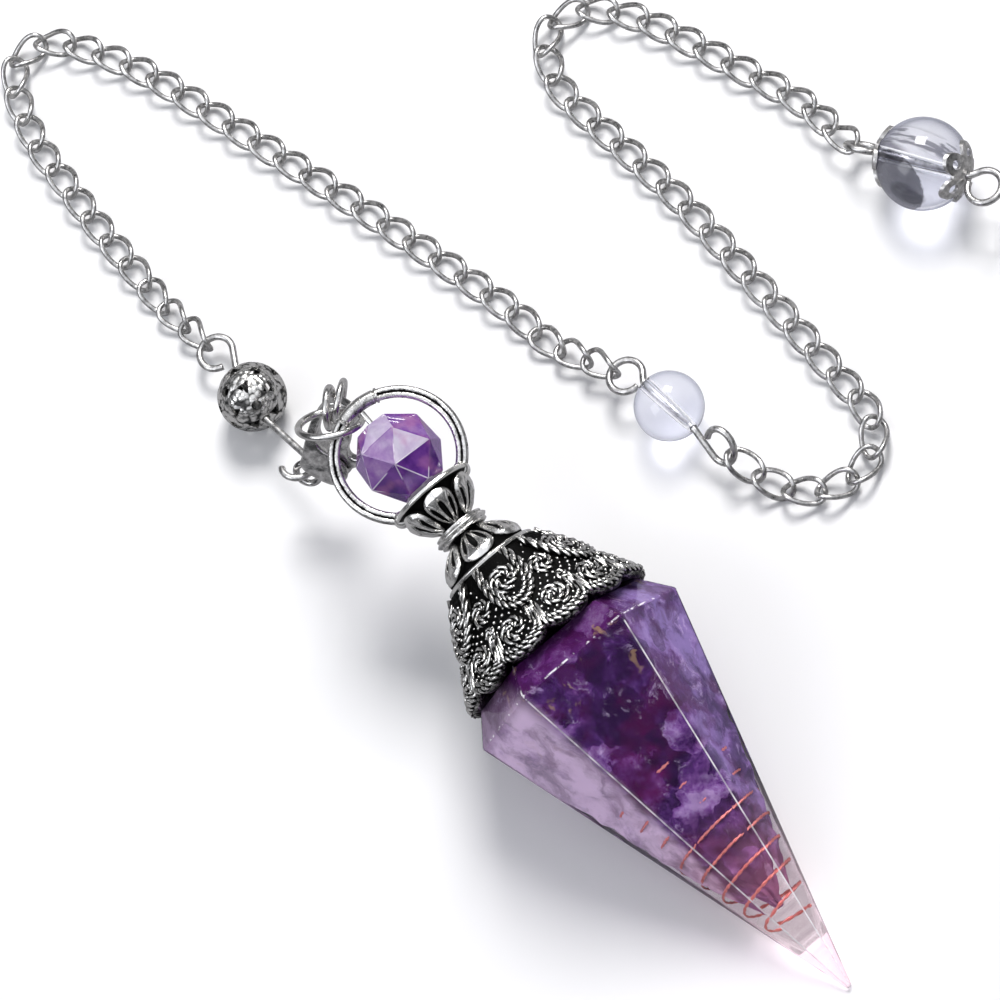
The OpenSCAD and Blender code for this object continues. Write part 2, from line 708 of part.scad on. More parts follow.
// Lobster clasp, drawn in its own plane: X across, Y from the tail eye to the top of the hook
clasp_turn = [54.2, 17.8, -63.2];
claw = [
    [-0.9, 1.3], [-1.2, 3], [-1.5, 5.5], [-1.6, 8], [-1.2, 10.3], [0, 11.9], [1.5, 12.1], [2.8, 11.2],
    [3.3, 9.5], [3.1, 8.6], [2.4, 8.7], [2.2, 9.6], [1.1, 10.7], [0.1, 10.3], [-0.5, 9.1], [-0.6, 7.4],
    [-0.3, 5.8], [0.8, 5], [2.4, 4.8], [4, 4.2], [4.5, 2.7], [3.8, 1.1], [1.8, 0.7]];
lever_line = [
    [1.7, 3.4], [1.9, 4.3], [2.3, 5.6], [2.4, 7], [2.5, 8.2], [3.05, 8.2], [3.3, 7], [3.4, 5.8], [4.1, 5.2],
    [5.3, 5.6], [5.7, 5.1], [4.9, 4.1], [3.9, 3], [3.2, 2.4], [2.3, 2.4]];
// The claw's thickness at four distances from its tail: it thins from its belly to its hook
claw_top = 13;
claw_belly = 5;
claw_section = [
    [-2, clasp_t], [claw_belly, clasp_t], [0.7 * claw_top, 1.1 * hook_t], [claw_top, hook_t]];
tail_r = 1.4;
tail_wire_r = 0.45;
pivot = [2.7, 3.4];
pivot_r = 0.4;
slot_from = [1.4, 1.8];
slot_to = [7, 6.2];
lever_gap = 0.12;
loop_steps = 4;
function looped(p) = [for (i = [0 : len(p) - 1], j = [0 : loop_steps - 1])
    let (n = len(p)) between(p[(i + n - 1) % n], p[i], p[(i + 1) % n], p[(i + 2) % n], j / loop_steps)];
function claw_side(side) = [for (p = claw_section) [p[0], side * p[1] / 2]];
module in_clasp() {
    translate(clasp_point)
        rotate(clasp_turn)
            children();
}
module clasp_body() {
    color([0.66, 0.66, 0.66])
        in_clasp() {
            difference() {
                intersection() {
                    translate([0, 0, -clasp_t / 2])
                        linear_extrude(clasp_t)
                            polygon(looped(claw));
                    rotate([90, 0, 90])
                        translate([0, 0, -claw_top])
                            linear_extrude(2 * claw_top)
                                polygon(concat(claw_side(1), reversed(claw_side(-1))));
                }
                translate([slot_from[0], slot_from[1], -lever_t / 2 - lever_gap])
                    cube([slot_to[0] - slot_from[0], slot_to[1] - slot_from[1], lever_t + 2 * lever_gap]);
            }
            rotate_extrude()
                translate([tail_r, 0])
                    circle(r = tail_wire_r, $fn = 24);
            translate([pivot[0], pivot[1], -clasp_t / 2 + seat])
                cylinder(h = clasp_t - 2 * seat, r = pivot_r, $fn = 24);
        }
}
module clasp_lever() {
    color([0.6, 0.6, 0.6])
        in_clasp()
            difference() {
                translate([0, 0, -lever_t / 2])
                    linear_extrude(lever_t)
                        polygon(looped(lever_line));
                translate([pivot[0], pivot[1], -lever_t])
                    cylinder(h = 2 * lever_t, r = pivot_r + lever_gap, $fn = 24);
            }
}

resin_point();
amethyst_core();
copper_coil();
cap_skirt();
bail_finial();
bail_pin();
faceted_bead();
link_ring();
jump_ring_1();
jump_ring_2();
clasp_body();
clasp_lever();
filigree_bead();
filigree_eye_pin();
chain_long();
middle_bead();
middle_eye_pin();
chain_short();
end_bead();
end_cap_inner();
end_cap_outer();
end_eye_pin();
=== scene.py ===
import math

import bpy
import numpy as np
from mathutils import Euler, Matrix, Vector


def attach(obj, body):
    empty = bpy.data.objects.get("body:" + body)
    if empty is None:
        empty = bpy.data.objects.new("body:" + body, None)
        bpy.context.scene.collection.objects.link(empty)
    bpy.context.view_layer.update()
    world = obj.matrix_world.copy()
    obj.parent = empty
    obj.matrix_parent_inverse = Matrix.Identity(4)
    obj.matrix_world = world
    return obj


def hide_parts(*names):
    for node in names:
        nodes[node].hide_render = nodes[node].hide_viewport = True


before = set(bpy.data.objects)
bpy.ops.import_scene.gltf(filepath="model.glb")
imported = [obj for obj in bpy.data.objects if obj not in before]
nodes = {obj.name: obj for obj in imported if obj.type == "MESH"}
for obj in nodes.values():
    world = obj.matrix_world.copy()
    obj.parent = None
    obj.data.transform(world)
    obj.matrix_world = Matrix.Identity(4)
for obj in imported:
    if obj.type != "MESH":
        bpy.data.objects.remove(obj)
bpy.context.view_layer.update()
mm = 0.001
print("frame loaded:", len(nodes), "nodes")


# numpy helpers: sizes are in millimetres until the mesh is made

def unit(v):
    # each vector over its own length
    return v / np.maximum(np.linalg.norm(v, axis=-1, keepdims=True), 1e-12)


def ease(x):
    # smooth step from 0 to 1: three times the square less twice the cube
    c = np.clip(x, 0, 1)
    return c * c * (3 - 2 * c)


def stack(*parts):
    # coordinates side by side on a last axis
    return np.stack(np.broadcast_arrays(*parts), axis=-1)


def around(count):
    # angles evenly round a full turn, in radians
    return 2 * np.pi * np.arange(count) / count


def offRay(angle, n, start=0.0):
    # angle from the nearest of n rays, all in degrees
    step = 360 / n
    turn = (angle - start) / step
    return (turn - np.round(turn)) * step


def gridFaces(rows, cols, closedRows=False, closedCols=False):
    # one quad between each point, the next column, the next row and column, and the next row
    i = np.arange(rows if closedRows else rows - 1)[:, None]
    k = np.arange(cols if closedCols else cols - 1)[None, :]
    a = i * cols + k
    b = i * cols + (k + 1) % cols
    c = (i + 1) % rows * cols + (k + 1) % cols
    d = (i + 1) % rows * cols + k
    return stack(a, b, c, d).reshape(-1, 4)


def tubeFaces(rows, cols):
    # the quads of one tube, and a flat face over each end
    end = np.arange(cols)
    return [gridFaces(rows, cols, False, True), end[::-1][None], end[None] + cols * (rows - 1)]


def sweep(paths, radius, sides, closed, up, swell=None):
    # tubes along many paths at once: point + radius * (u cos a + v sin a), u and v square to the path;
    # swell(row, a) multiplies the radius
    if closed:
        along = unit(np.roll(paths, -1, axis=1) - np.roll(paths, 1, axis=1))
    else:
        along = unit(np.gradient(paths, axis=1))
    u = unit(up - (up * along).sum(-1, keepdims=True) * along)
    v = np.cross(along, u)
    a = around(sides)
    ring = u[:, :, None] * np.cos(a)[:, None] + v[:, :, None] * np.sin(a)[:, None]
    count, rows = paths.shape[:2]
    reach = radius
    if swell is not None:
        reach = radius * swell(np.arange(rows)[:, None], a[None, :])[..., None]
    points = paths[:, :, None] + reach * ring
    shift = np.arange(count) * rows * sides
    faces = [(gridFaces(rows, sides, closed, True)[None] + shift[:, None, None]).reshape(-1, 4)]
    if not closed:
        end = np.arange(sides)
        faces.append(end[::-1][None] + shift[:, None])
        faces.append(end[None] + (rows - 1) * sides + shift[:, None])
    return points.reshape(-1, 3), faces


def shadeFaces(mesh, smooth):
    mesh.polygons.foreach_set("use_smooth", np.full(len(mesh.polygons), smooth))


def setValue(mesh, name, domain, values):
    # a number of each point or face, for the materials to read
    layer = mesh.attributes.new(name, "FLOAT", domain)
    layer.data.foreach_set("value", values.astype(np.float32))


def makeMesh(name, parts):
    # joins parts of (points, faces) or (points, faces, shine) into one mesh; shine is 1 where it isn't given
    points = np.concatenate([part[0].reshape(-1, 3) for part in parts]) * mm
    starts = np.cumsum([0] + [part[0].size // 3 for part in parts])
    faces = [group + start for part, start in zip(parts, starts) for group in part[1]]
    corners = np.concatenate([group.ravel() for group in faces]).astype(np.int32)
    sizes = np.concatenate([np.full(len(group), group.shape[1]) for group in faces])
    mesh = bpy.data.meshes.new(name)
    mesh.vertices.add(len(points))
    mesh.vertices.foreach_set("co", points.ravel())
    mesh.loops.add(len(corners))
    mesh.loops.foreach_set("vertex_index", corners)
    mesh.polygons.add(len(sizes))
    mesh.polygons.foreach_set("loop_start", (np.cumsum(sizes) - sizes).astype(np.int32))
    mesh.update(calc_edges=True)
    shadeFaces(mesh, True)
    shine = [np.broadcast_to(part[2] if len(part) > 2 else 1.0, part[0].size // 3).ravel() for part in parts]
    setValue(mesh, "shine", "POINT", np.concatenate(shine))
    return mesh


def addPiece(name, shape, finish, body="pendant", stands=(), sharp=None):
    # shape is a mesh, or the parts of one
    mesh = makeMesh(name, shape) if isinstance(shape, list) else shape
    piece = bpy.data.objects.new(name, mesh)
    bpy.context.scene.collection.objects.link(piece)
    mesh.materials.clear()
    mesh.materials.append(finishes[finish])
    if sharp is not None:
        mesh.set_sharp_from_angle(angle=math.radians(sharp))
    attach(piece, body)
    if stands:
        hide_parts(*stands)
    return piece


def nodePoints(node):
    # a CAD node's points, in millimetres
    raw = np.empty(len(nodes[node].data.vertices) * 3)
    nodes[node].data.vertices.foreach_get("co", raw)
    return raw.reshape(-1, 3) / mm


def finalMesh(piece):
    # the piece's mesh with its modifiers applied
    return bpy.data.meshes.new_from_object(piece.evaluated_get(bpy.context.evaluated_depsgraph_get()))


def nodeCopy(name, node, merge=0.01):
    # a copy of a CAD node's mesh, its doubles merged
    mesh = nodes[node].data.copy()
    mesh.name = name
    work = bpy.data.objects.new(name + "Work", mesh)
    bpy.context.scene.collection.objects.link(work)
    weld = work.modifiers.new("weld", "WELD")
    weld.merge_threshold = merge * mm
    made = finalMesh(work)
    bpy.data.objects.remove(work)
    made.name = name
    return made


def bakeModifiers(piece):
    made = finalMesh(piece)
    piece.modifiers.clear()
    piece.data = made


def bevelEdges(piece, edge, sharp, small):
    # a narrow flat on each edge sharper than sharp degrees; the value edge is 1 on faces smaller than small,
    # in square millimetres: the bevels and drilled walls
    bevel = piece.modifiers.new("edges", "BEVEL")
    bevel.width = edge * mm
    bevel.segments = 1
    bevel.limit_method = "ANGLE"
    bevel.angle_limit = math.radians(sharp)
    bakeModifiers(piece)
    shadeFaces(piece.data, False)
    areas = np.empty(len(piece.data.polygons))
    piece.data.polygons.foreach_get("area", areas)
    setValue(piece.data, "edge", "FACE", areas < small * mm * mm)


# The pendant's own frame: x across, y down towards the table, s along the axis from the tip
lay = dict(x=-29.0, tipY=-77.75, lift=0.2936, lean=14.3897)


def onPendant(x, y, s):
    # turned about the table's X by the lean, then moved to the tip
    lean = math.radians(lay["lean"])
    return stack(lay["x"] + x, lay["tipY"] + y * math.sin(lean) + s * math.cos(lean),
                 lay["lift"] - y * math.cos(lean) + s * math.sin(lean))


# Materials

class Field:
    # a socket that adds, subtracts, multiplies and divides by writing Math nodes
    def __init__(self, finish, socket):
        self.finish, self.socket = finish, socket

    def join(self, operation, a, b):
        return self.finish.node("Math", dict(operation=operation), {0: a, 1: b})

    def __add__(self, other):
        return self.join("ADD", self, other)

    def __radd__(self, other):
        return self.join("ADD", other, self)

    def __sub__(self, other):
        return self.join("SUBTRACT", self, other)

    def __rsub__(self, other):
        return self.join("SUBTRACT", other, self)

    def __mul__(self, other):
        return self.join("MULTIPLY", self, other)

    def __rmul__(self, other):
        return self.join("MULTIPLY", other, self)

    def __truediv__(self, other):
        return self.join("DIVIDE", self, other)

    def most(self, other):
        return self.join("MAXIMUM", self, other)

    def between(self, low, high, start=0.0, end=1.0):
        # rises smoothly from start at low to end at high
        return self.finish.node("MapRange", dict(interpolation_type="SMOOTHSTEP"),
                                {0: self, 1: low, 2: high, 3: start, 4: end})


class Finish:
    # one material or sky; node() adds any node, settings first, then the values or links of its sockets
    def __init__(self, name, holder=None):
        self.material = holder or bpy.data.materials.new(name)
        self.material.use_nodes = True
        self.tree = self.material.node_tree
        self.tree.nodes.clear()

    def node(self, kind, settings=None, inputs=None, output=0):
        made = self.tree.nodes.new("ShaderNode" + kind)
        for key, value in (settings or {}).items():
            if key == "stops":
                while len(made.color_ramp.elements) < len(value):
                    made.color_ramp.elements.new(0.5)
                for element, (spot, colour) in zip(made.color_ramp.elements, value):
                    element.position = spot
                    element.color = (*colour, 1)
            else:
                setattr(made, key, value)
        for key, value in (inputs or {}).items():
            if isinstance(value, Field):
                self.tree.links.new(value.socket, made.inputs[key])
            else:
                made.inputs[key].default_value = value
        return Field(self, made.outputs[output]) if made.outputs else made

    def place(self, turn=(0, 0, 0), shift=(0, 0, 0)):
        # object coordinates in millimetres, turned and shifted
        spot = self.node("TexCoord", output=3)
        return self.node("Mapping", inputs={0: spot, 1: shift, 2: turn, 3: (1000.0, 1000.0, 1000.0)})

    def placeOnPendant(self):
        # object coordinates in the pendant's own frame: x across, y down, z along the axis
        turn = math.radians(90 - lay["lean"])
        back = Euler((turn, 0, 0)).to_matrix() @ Vector((lay["x"], lay["tipY"], lay["lift"]))
        return self.place(turn=(turn, 0, 0), shift=tuple(-back))

    def axis(self, spot, which):
        return self.node("SeparateXYZ", inputs={0: spot}, output=which)

    def noise(self, spot, size, detail=3.0, rough=0.5, bend=0.0, output=0):
        # size in millimetres; output 1 is its colour
        return self.node("TexNoise", inputs={"Vector": spot, "Scale": 1 / size, "Detail": detail,
                                             "Roughness": rough, "Distortion": bend}, output=output)

    def mix(self, factor, a, b):
        # colours a and b are sockets 6 and 7
        return self.node("Mix", dict(data_type="RGBA"), {0: factor, 6: a, 7: b}, output=2)

    def ramp(self, factor, *stops):
        return self.node("ValToRGB", dict(stops=stops), {0: factor})

    def bump(self, height, strength, distance):
        return self.node("Bump", inputs={"Strength": strength, "Distance": distance, "Height": height})

    def skin(self, **inputs):
        # Principled BSDF; Base_Color stands for its Base Color, and so on
        named = {key.replace("_", " "): value for key, value in inputs.items()}
        return self.node("BsdfPrincipled", inputs=named)

    def surface(self, **inputs):
        self.node("OutputMaterial", inputs={0: self.skin(**inputs)})
        return self.material


def lightThrough(made, glass, colour, share=0.85):
    # the lamps shine through the glass on to what lies inside and under it
    clear = made.node("BsdfTransparent", inputs={"Color": colour})
    shadow = made.node("LightPath", output=1)
    return made.node("MixShader", inputs={0: shadow * share, 1: glass, 2: clear})


def paleEdgesAndHighlight(made, glass, colour, share):
    # the edges of a cut stone are matt and pale: partly worn frosting, partly a painted highlight along the
    # ridges
    edge = made.node("Attribute", dict(attribute_name="edge"), output=2)
    matt = made.node("BsdfDiffuse", inputs={"Color": colour})
    worn = made.node("MixShader", inputs={0: edge * share, 1: glass, 2: matt})
    made.node("OutputMaterial", inputs={0: worn})
    return made.material


def clearResin():
    # clear, pink at the tip and lavender towards the crown, with pale edges: partly worn, partly a painted
    # highlight
    made = Finish("clearResin")
    spot = made.placeOnPendant()
    along = made.axis(spot, 2)
    tint = made.mix(along.between(8, 30), (0.86, 0.71, 0.74, 1), (0.92, 0.86, 0.97, 1))
    glass = made.skin(Base_Color=tint, Roughness=0.02, IOR=1.42, Transmission_Weight=1.0,
                      Specular_Tint=(0.2, 0.2, 0.2, 1))
    # which edges are pale: partly wear, and partly a painted highlight on the ridges and the shoulder
    worn = made.noise(spot, 2.5, 4.0).between(0.35, 0.6, 0.35, 1.0)
    chippedAndHighlight = made.noise(spot, 1.4, 5.0, 0.7).between(0.5, 0.58)
    high = along.between(44.5, 44.9)
    shoulder = high * along.between(45.6, 46.4, 1.0, 0.12)
    share = worn * (1 - high) + shoulder * chippedAndHighlight
    lit = lightThrough(made, glass, (0.95, 0.88, 0.95, 1))
    return paleEdgesAndHighlight(made, lit, (0.93, 0.9, 0.95, 1), share * 0.85)


# depths are the ramp's stops; side is how far across a patch begins, as a share of the point's half width
chipLooks = dict(
    depths=((0.0, (0.02, 0.006, 0.036)), (0.35, (0.058, 0.019, 0.105)), (0.6, (0.125, 0.05, 0.19)),
            (0.82, (0.19, 0.105, 0.27)), (1.0, (0.29, 0.205, 0.37))),
    wine=(0.085, 0.008, 0.062, 1), crown=(0.055, 0.008, 0.06, 1), gold=(0.3, 0.2, 0.1, 1),
    paintedLeftLight=(0.68, 0.56, 0.69, 1), bluish=(0.3, 0.23, 0.47, 1), veil=(0.6, 0.5, 0.7, 1),
    tip=(0.62, 0.3, 0.46, 1), cell=4.2, bend=(7.0, 7.0, 7.0), side=(0.44, 0.6))


def amethystChips():
    # cells of their own depth of purple, clouded and veined; paler on the left as painted light, bluish on
    # the right, pink low
    made = Finish("amethystChips")
    look = chipLooks
    spot = made.placeOnPendant()
    swirl = made.noise(spot, 4.0, 4.0, output=1)
    bent = made.node("VectorMath", dict(operation="MULTIPLY_ADD"), {0: swirl, 1: look["bend"], 2: spot})
    cells = made.node("TexVoronoi", dict(feature="F1"), {"Vector": bent, "Scale": 1 / look["cell"]}, output=1)
    tone = made.axis(cells, 0)
    cloud = made.noise(bent, 5.0, 7.0, 0.62)
    fine = made.noise(spot, 1.3, 6.0, 0.7)
    depth = (tone * 0.34 + cloud + fine * 0.7 - 0.6).between(0.24, 0.78)
    purple = made.ramp(depth, *look["depths"])
    across, along = made.axis(spot, 0), made.axis(spot, 2)
    side = across / (along * 0.296 + 0.35)
    stained = made.noise(bent, 7.0, 3.0).between(0.49, 0.62) * fine.between(0.35, 0.65, 1.0, 0.5)
    wine = made.mix(stained * along.between(26, 46, 0.8, 0.4), purple, look["wine"])
    atCrown = along.between(44.6, 45.6) * cloud.between(0.3, 0.7, 0.85, 0.55)
    crown = made.mix(atCrown, wine, look["crown"])
    flecks = made.noise(bent, 3.0, 4.0).between(0.64, 0.7) * along.between(36, 42)
    gold = made.mix(flecks * 0.6, crown, look["gold"])
    # painted light: the left side of the point paler, clouded by noise
    atLeft = (0 - side).between(*look["side"]) * cloud.between(0.35, 0.6, 0.4, 0.95)
    paintedLeftLight = made.mix(atLeft * along.between(44, 46, 1, 0.4), gold, look["paintedLeftLight"])
    atRight = side.between(*look["side"]) * cloud.between(0.4, 0.65, 0.15, 0.75)
    bluish = made.mix(atRight, paintedLeftLight, look["bluish"])
    veil = made.mix(made.noise(bent, 2.2, 9.0, 0.72).between(0.56, 0.7) * 0.4, bluish, look["veil"])
    low = made.mix(along.between(10, 26, 0.45, 0.0), veil, look["tip"])
    return made.surface(Base_Color=low, Roughness=0.3, Specular_IOR_Level=0.0,
                        Normal=made.bump(fine, 0.3, 0.0004))


def copperWire():
    # two tones of copper, mixed by noise
    made = Finish("copperWire")
    tone = made.noise(made.place(), 0.5, 2.0)
    colour = made.mix(tone, (0.6, 0.15, 0.13, 1), (0.84, 0.36, 0.32, 1))
    return made.surface(Base_Color=colour, Metallic=0.7, Roughness=0.35)


def antiqueSilver():
    # black in its recesses, where the piece's shine value is low, and rubbed bright on its ridges; on the
    # bail ring's wires the shine value also holds a painted highlight and painted shade
    made = Finish("antiqueSilver")
    spot = made.place()
    shine = made.node("Attribute", dict(attribute_name="shine"), output=2)
    grit = made.noise(spot, 0.2, 4.0, 0.7)
    smudge = made.noise(spot, 0.8, 4.0, 0.6)
    rubbed = (shine + (grit - 0.5) * 0.6 + (smudge - 0.5) * 0.9).between(0.3, 0.78)
    colour = made.mix(rubbed, (0.009, 0.009, 0.009, 1), (0.88, 0.87, 0.85, 1))
    return made.surface(Base_Color=colour, Metallic=1.0, Roughness=rubbed.between(0, 1, 0.5, 0.2),
                        Normal=made.bump(grit, 0.3, 0.0001))


def granulatedSilver(middle):
    # fine grains: bright by the distance from each grain's middle, black between them and inside the bead
    made = Finish("granulatedSilver")
    spot = made.place()
    grain = made.node("TexVoronoi", dict(feature="F1"), {"Vector": spot, "Scale": 1 / 0.62}, output=0)
    worn = made.noise(spot, 1.6, 4.0)
    rubbed = (1.0 - grain * 1.1 + (worn - 0.5) * 0.9).between(0.05, 0.5)
    reach = made.node("VectorMath", dict(operation="DISTANCE"), {0: spot, 1: middle}, output=1)
    rubbed = rubbed * reach.between(3.45, 3.75)
    colour = made.mix(rubbed, (0.06, 0.06, 0.06, 1), (0.8, 0.79, 0.77, 1))
    return made.surface(Base_Color=colour, Metallic=1.0, Roughness=rubbed.between(0, 1, 0.5, 0.25),
                        Normal=made.bump(1.0 - grain, 0.6, 0.00025))


def castSilver(name, dark, light, rough, grain, wave=0.0):
    # plain wire or cast metal, clouded with wear, finely scratched, and uneven by wave, in metres
    made = Finish(name)
    spot = made.place()
    wear = made.noise(spot, grain, 5.0, 0.65)
    colour = made.mix(wear.between(0.35, 0.65), (*dark, 1), (*light, 1))
    fine = made.bump(made.noise(spot, 0.33, 3.0), 0.14, 0.0001)
    if wave:
        swells = made.noise(spot, 2.2, 1.0)
        fine = made.node("Bump", inputs={"Strength": 1.0, "Distance": wave, "Height": swells, "Normal": fine})
    dull = wear.between(0.3, 0.7, rough, rough + 0.12)
    return made.surface(Base_Color=colour, Metallic=1.0, Roughness=dull, Normal=fine)


def cutAmethyst():
    # each facet has its own depth of purple by which way it faces: painted highlight on the pale facets,
    # painted shade on the dark ones; clouded with pink and smoke, and some edges are pale, partly worn and
    # partly a painted highlight
    made = Finish("cutAmethyst")
    spot = made.place()
    # painted highlight and painted shade: the tone each facet takes by which way it faces
    tone = made.node("Attribute", dict(attribute_name="tone"), output=2)
    cloud = made.noise(spot, 2.6, 5.0, 0.6, 0.3)
    colour = made.ramp(tone + (cloud - 0.5) * 0.9, (0.0, (0.07, 0.012, 0.19)), (0.35, (0.2, 0.055, 0.38)),
                       (0.6, (0.42, 0.27, 0.56)), (0.95, (0.8, 0.74, 0.9)))
    pink = made.mix(made.noise(spot, 4.0, 3.0).between(0.5, 0.65) * 0.45, colour, (0.55, 0.2, 0.42, 1))
    glass = made.skin(Base_Color=pink, Roughness=0.04, IOR=1.55, Transmission_Weight=0.35)
    # which edges are pale: partly wear, partly a painted highlight
    worn = made.noise(spot, 3.5, 3.0).between(0.51, 0.6)
    return paleEdgesAndHighlight(made, glass, (0.95, 0.9, 0.98, 1), worn * 0.6)


def clearGlass(name, paintedRimShade, pin=None, paintedRefraction=None):
    # a painted shade darker towards the rim; painted refraction of the dark parts round it: streaks beside
    # the pin's bore, and a dark patch with a crinkled border
    made = Finish(name)
    spot = made.place()
    clear = made.mix(made.noise(spot, 3.0, 3.0), (0.88, 0.89, 0.95, 1), (0.96, 0.96, 0.99, 1))
    # painted shade: the base colour darkens towards the rim
    rim = made.node("LayerWeight", inputs={0: 0.5}, output=1)
    colour = made.mix(rim.between(0.35, 0.8), clear, paintedRimShade)
    if paintedRefraction:
        # painted refraction: streaks and a dark patch put in the base colour
        turn = (0, math.radians(pin["dip"]), math.radians(pin["heading"]))
        bore = made.node("Mapping", dict(vector_type="TEXTURE"), {0: spot, 1: pin["at"], 2: turn})
        across = made.axis(bore, 1)
        drawn = made.node("Mapping", inputs={0: bore, 3: paintedRefraction["drawn"]})
        beside = across.between(-2.6, -1.6) * across.between(-0.1, 0.5, 1.0, 0.0)
        streaks = made.noise(drawn, 0.7, 2.0, 0.6).between(0.46, 0.56) * beside
        streaked = made.mix(streaks * 0.9, colour, paintedRefraction["streak"])
        reach = made.node("VectorMath", dict(operation="DISTANCE"), {0: spot, 1: paintedRefraction["patch"]}, output=1)
        crinkle = reach + made.noise(spot, 0.5, 3.0) * 0.5
        darkRefraction = crinkle.between(paintedRefraction["wide"], paintedRefraction["wide"] + 0.2, 0.95, 0.0) * across.between(0.7, 1.0)
        colour = made.mix(darkRefraction, streaked, paintedRefraction["darkRefraction"])
    glass = made.skin(Base_Color=colour, Roughness=0.0, IOR=1.5, Transmission_Weight=1.0)
    lit = lightThrough(made, glass, (0.9, 0.91, 0.96, 1), 0.6)
    made.node("OutputMaterial", inputs={0: lit})
    return made.material


# the second value of each glass finish is its painted rim shade
finishes = dict(
    resin=clearResin(), chips=amethystChips(), copper=copperWire(), antique=antiqueSilver(),
    gem=cutAmethyst(), glass=clearGlass("clearGlass", (0.45, 0.46, 0.54, 1)),
    bright=castSilver("brightSilver", (0.55, 0.54, 0.53), (0.84, 0.83, 0.82), 0.16, 1.1),
    chain=castSilver("chainSilver", (0.42, 0.415, 0.41), (0.78, 0.77, 0.76), 0.26, 0.8),
    cast=castSilver("claspSilver", (0.4, 0.395, 0.39), (0.8, 0.79, 0.78), 0.14, 0.7, 0.0003),
    flower=castSilver("capSilver", (0.38, 0.375, 0.37), (0.72, 0.71, 0.7), 0.28, 0.5, 0.0004))
print("materials made")


# Stone: a six-sided point, blunt at the tip, bevelled at the crown
stone = dict(tipR=0.35, shoulderR=13.8, shoulder=45.4, crownR=8.9, crown=52.0,
             edge=0.11, sharp=20, small=15.0)


def pointRadius(s):
    # to the corners: straight from the tip to the shoulder, then straight in to the crown
    below = stone["tipR"] + (stone["shoulderR"] - stone["tipR"]) / stone["shoulder"] * s
    narrowing = (stone["crownR"] - stone["shoulderR"]) * (s - stone["shoulder"])
    above = stone["shoulderR"] + narrowing / (stone["crown"] - stone["shoulder"])
    return np.minimum(below, above)


def sixSided():
    # rings of six corners at the tip, the shoulder and the crown, a sixth of a turn apart
    a = np.radians(60 * np.arange(6))
    s = np.array([0, stone["shoulder"], stone["crown"]])[:, None]
    r = np.array([stone["tipR"], stone["shoulderR"], stone["crownR"]])[:, None]
    return onPendant(r * np.cos(a), r * np.sin(a), s + 0 * a), tubeFaces(3, 6)


pointPiece = addPiece("resinPoint", [sixSided()], "resin", stands=["resin_point"])
bevelEdges(pointPiece, stone["edge"], stone["sharp"], stone["small"])

# Amethyst inside it: narrow between the turns of the coil, then up to the faces of the point
chips = dict(start=11.5, top=48.6, wall=0.28, inCoil=1.3, rows=90, cols=180, rough=0.35)


def amethystMass():
    # the flats follow the point less a wall, and less the coil's room low down; a sum of sines roughens them
    s = np.linspace(chips["start"], chips["top"], chips["rows"])[:, None]
    angle = np.linspace(0, 360, chips["cols"], endpoint=False)[None, :]
    free = 1.17 - 0.85 * ease((s - 13) / 15) - 0.32 * ease((s - 29) / 8)
    flatR = pointRadius(s) * math.cos(math.pi / 6) - chips["wall"] - chips["inCoil"] * free
    flatR = flatR * np.sqrt(ease((s - chips["start"] + 0.4) / 7))
    hexed = flatR / np.cos(np.radians(offRay(angle, 6, 30)))
    a = np.radians(angle)
    waves = np.sin(3 * a + 0.9 * s) * np.sin(0.7 * s + 1.3 * np.sin(2 * a))
    waves = waves + 0.5 * np.sin(7 * a - 1.7 * s) + 0.3 * np.sin(11 * a + 2.6 * s)
    rough = chips["rough"] * waves * (1 - ease((s - 31) / 6))
    r = np.maximum(hexed + np.minimum(rough, 0.3), 0.2)
    return onPendant(r * np.cos(a), r * np.sin(a), s + 0 * a), tubeFaces(chips["rows"], chips["cols"])


addPiece("amethystMass", [amethystMass()], "chips", stands=["amethyst_core"], sharp=25)

# Coil: two thin copper wires twisted together, wound inside the faces
coil = dict(start=9.5, pitch=2.7, turns=9, inset=0.85, wire=0.115, twist=0.1, perTurn=60, twists=14, sides=6)


def copperSpiral():
    # each wire circles the winding line at the twist radius, the two of them half a turn apart
    turns = np.linspace(0, coil["turns"], coil["turns"] * coil["perTurn"])
    s = coil["start"] + coil["pitch"] * turns
    r = pointRadius(s) * math.cos(math.pi / 6) - coil["inset"]
    a = 2 * np.pi * turns
    phase = a * coil["twists"] * np.maximum(r, 2) / 6 + np.array([[0], [np.pi]])
    ring = r + coil["twist"] * np.cos(phase)
    paths = onPendant(ring * np.cos(a), ring * np.sin(a), s + coil["twist"] * np.sin(phase))
    up = onPendant(0, 0, 1) - onPendant(0, 0, 0)
    return sweep(paths, coil["wire"], coil["sides"], False, up)


addPiece("copperSpiral", [copperSpiral()], "copper", stands=["copper_coil"])
print("stone made")

# Cap: a bell of petals and lobes, edged and curled with twisted rope
cap = dict(top=60.1, height=11.3, topR=5.5, hemR=12.3, wall=0.8, slope=31.0, lobes=12, lobeH=1.7, petals=6,
           petalHalf=20.25, petalReach=0.6, petalRise=0.42, cols=360, rows=48,
           rope=0.3, fineRope=0.24, ropePitch=1.15, ropeSides=8)


def capRadius(t):
    # a cone from the top to the hem, with a small swell in the middle
    return cap["topR"] + (cap["hemR"] - cap["topR"]) * (0.9 * t + 0.28 * t * (1 - t) + 0.1 * t * t)


def lobeShare(x):
    # how far down a lobe reaches at x, -1 to 1 across it: the arc of an ellipse
    return 1 - cap["lobeH"] / cap["height"] * (1 - np.sqrt(1 - 0.9 * x * x))


def hemShare(angle):
    half = 180 / cap["lobes"]
    return lobeShare(offRay(angle, cap["lobes"], 90 + half) / half)


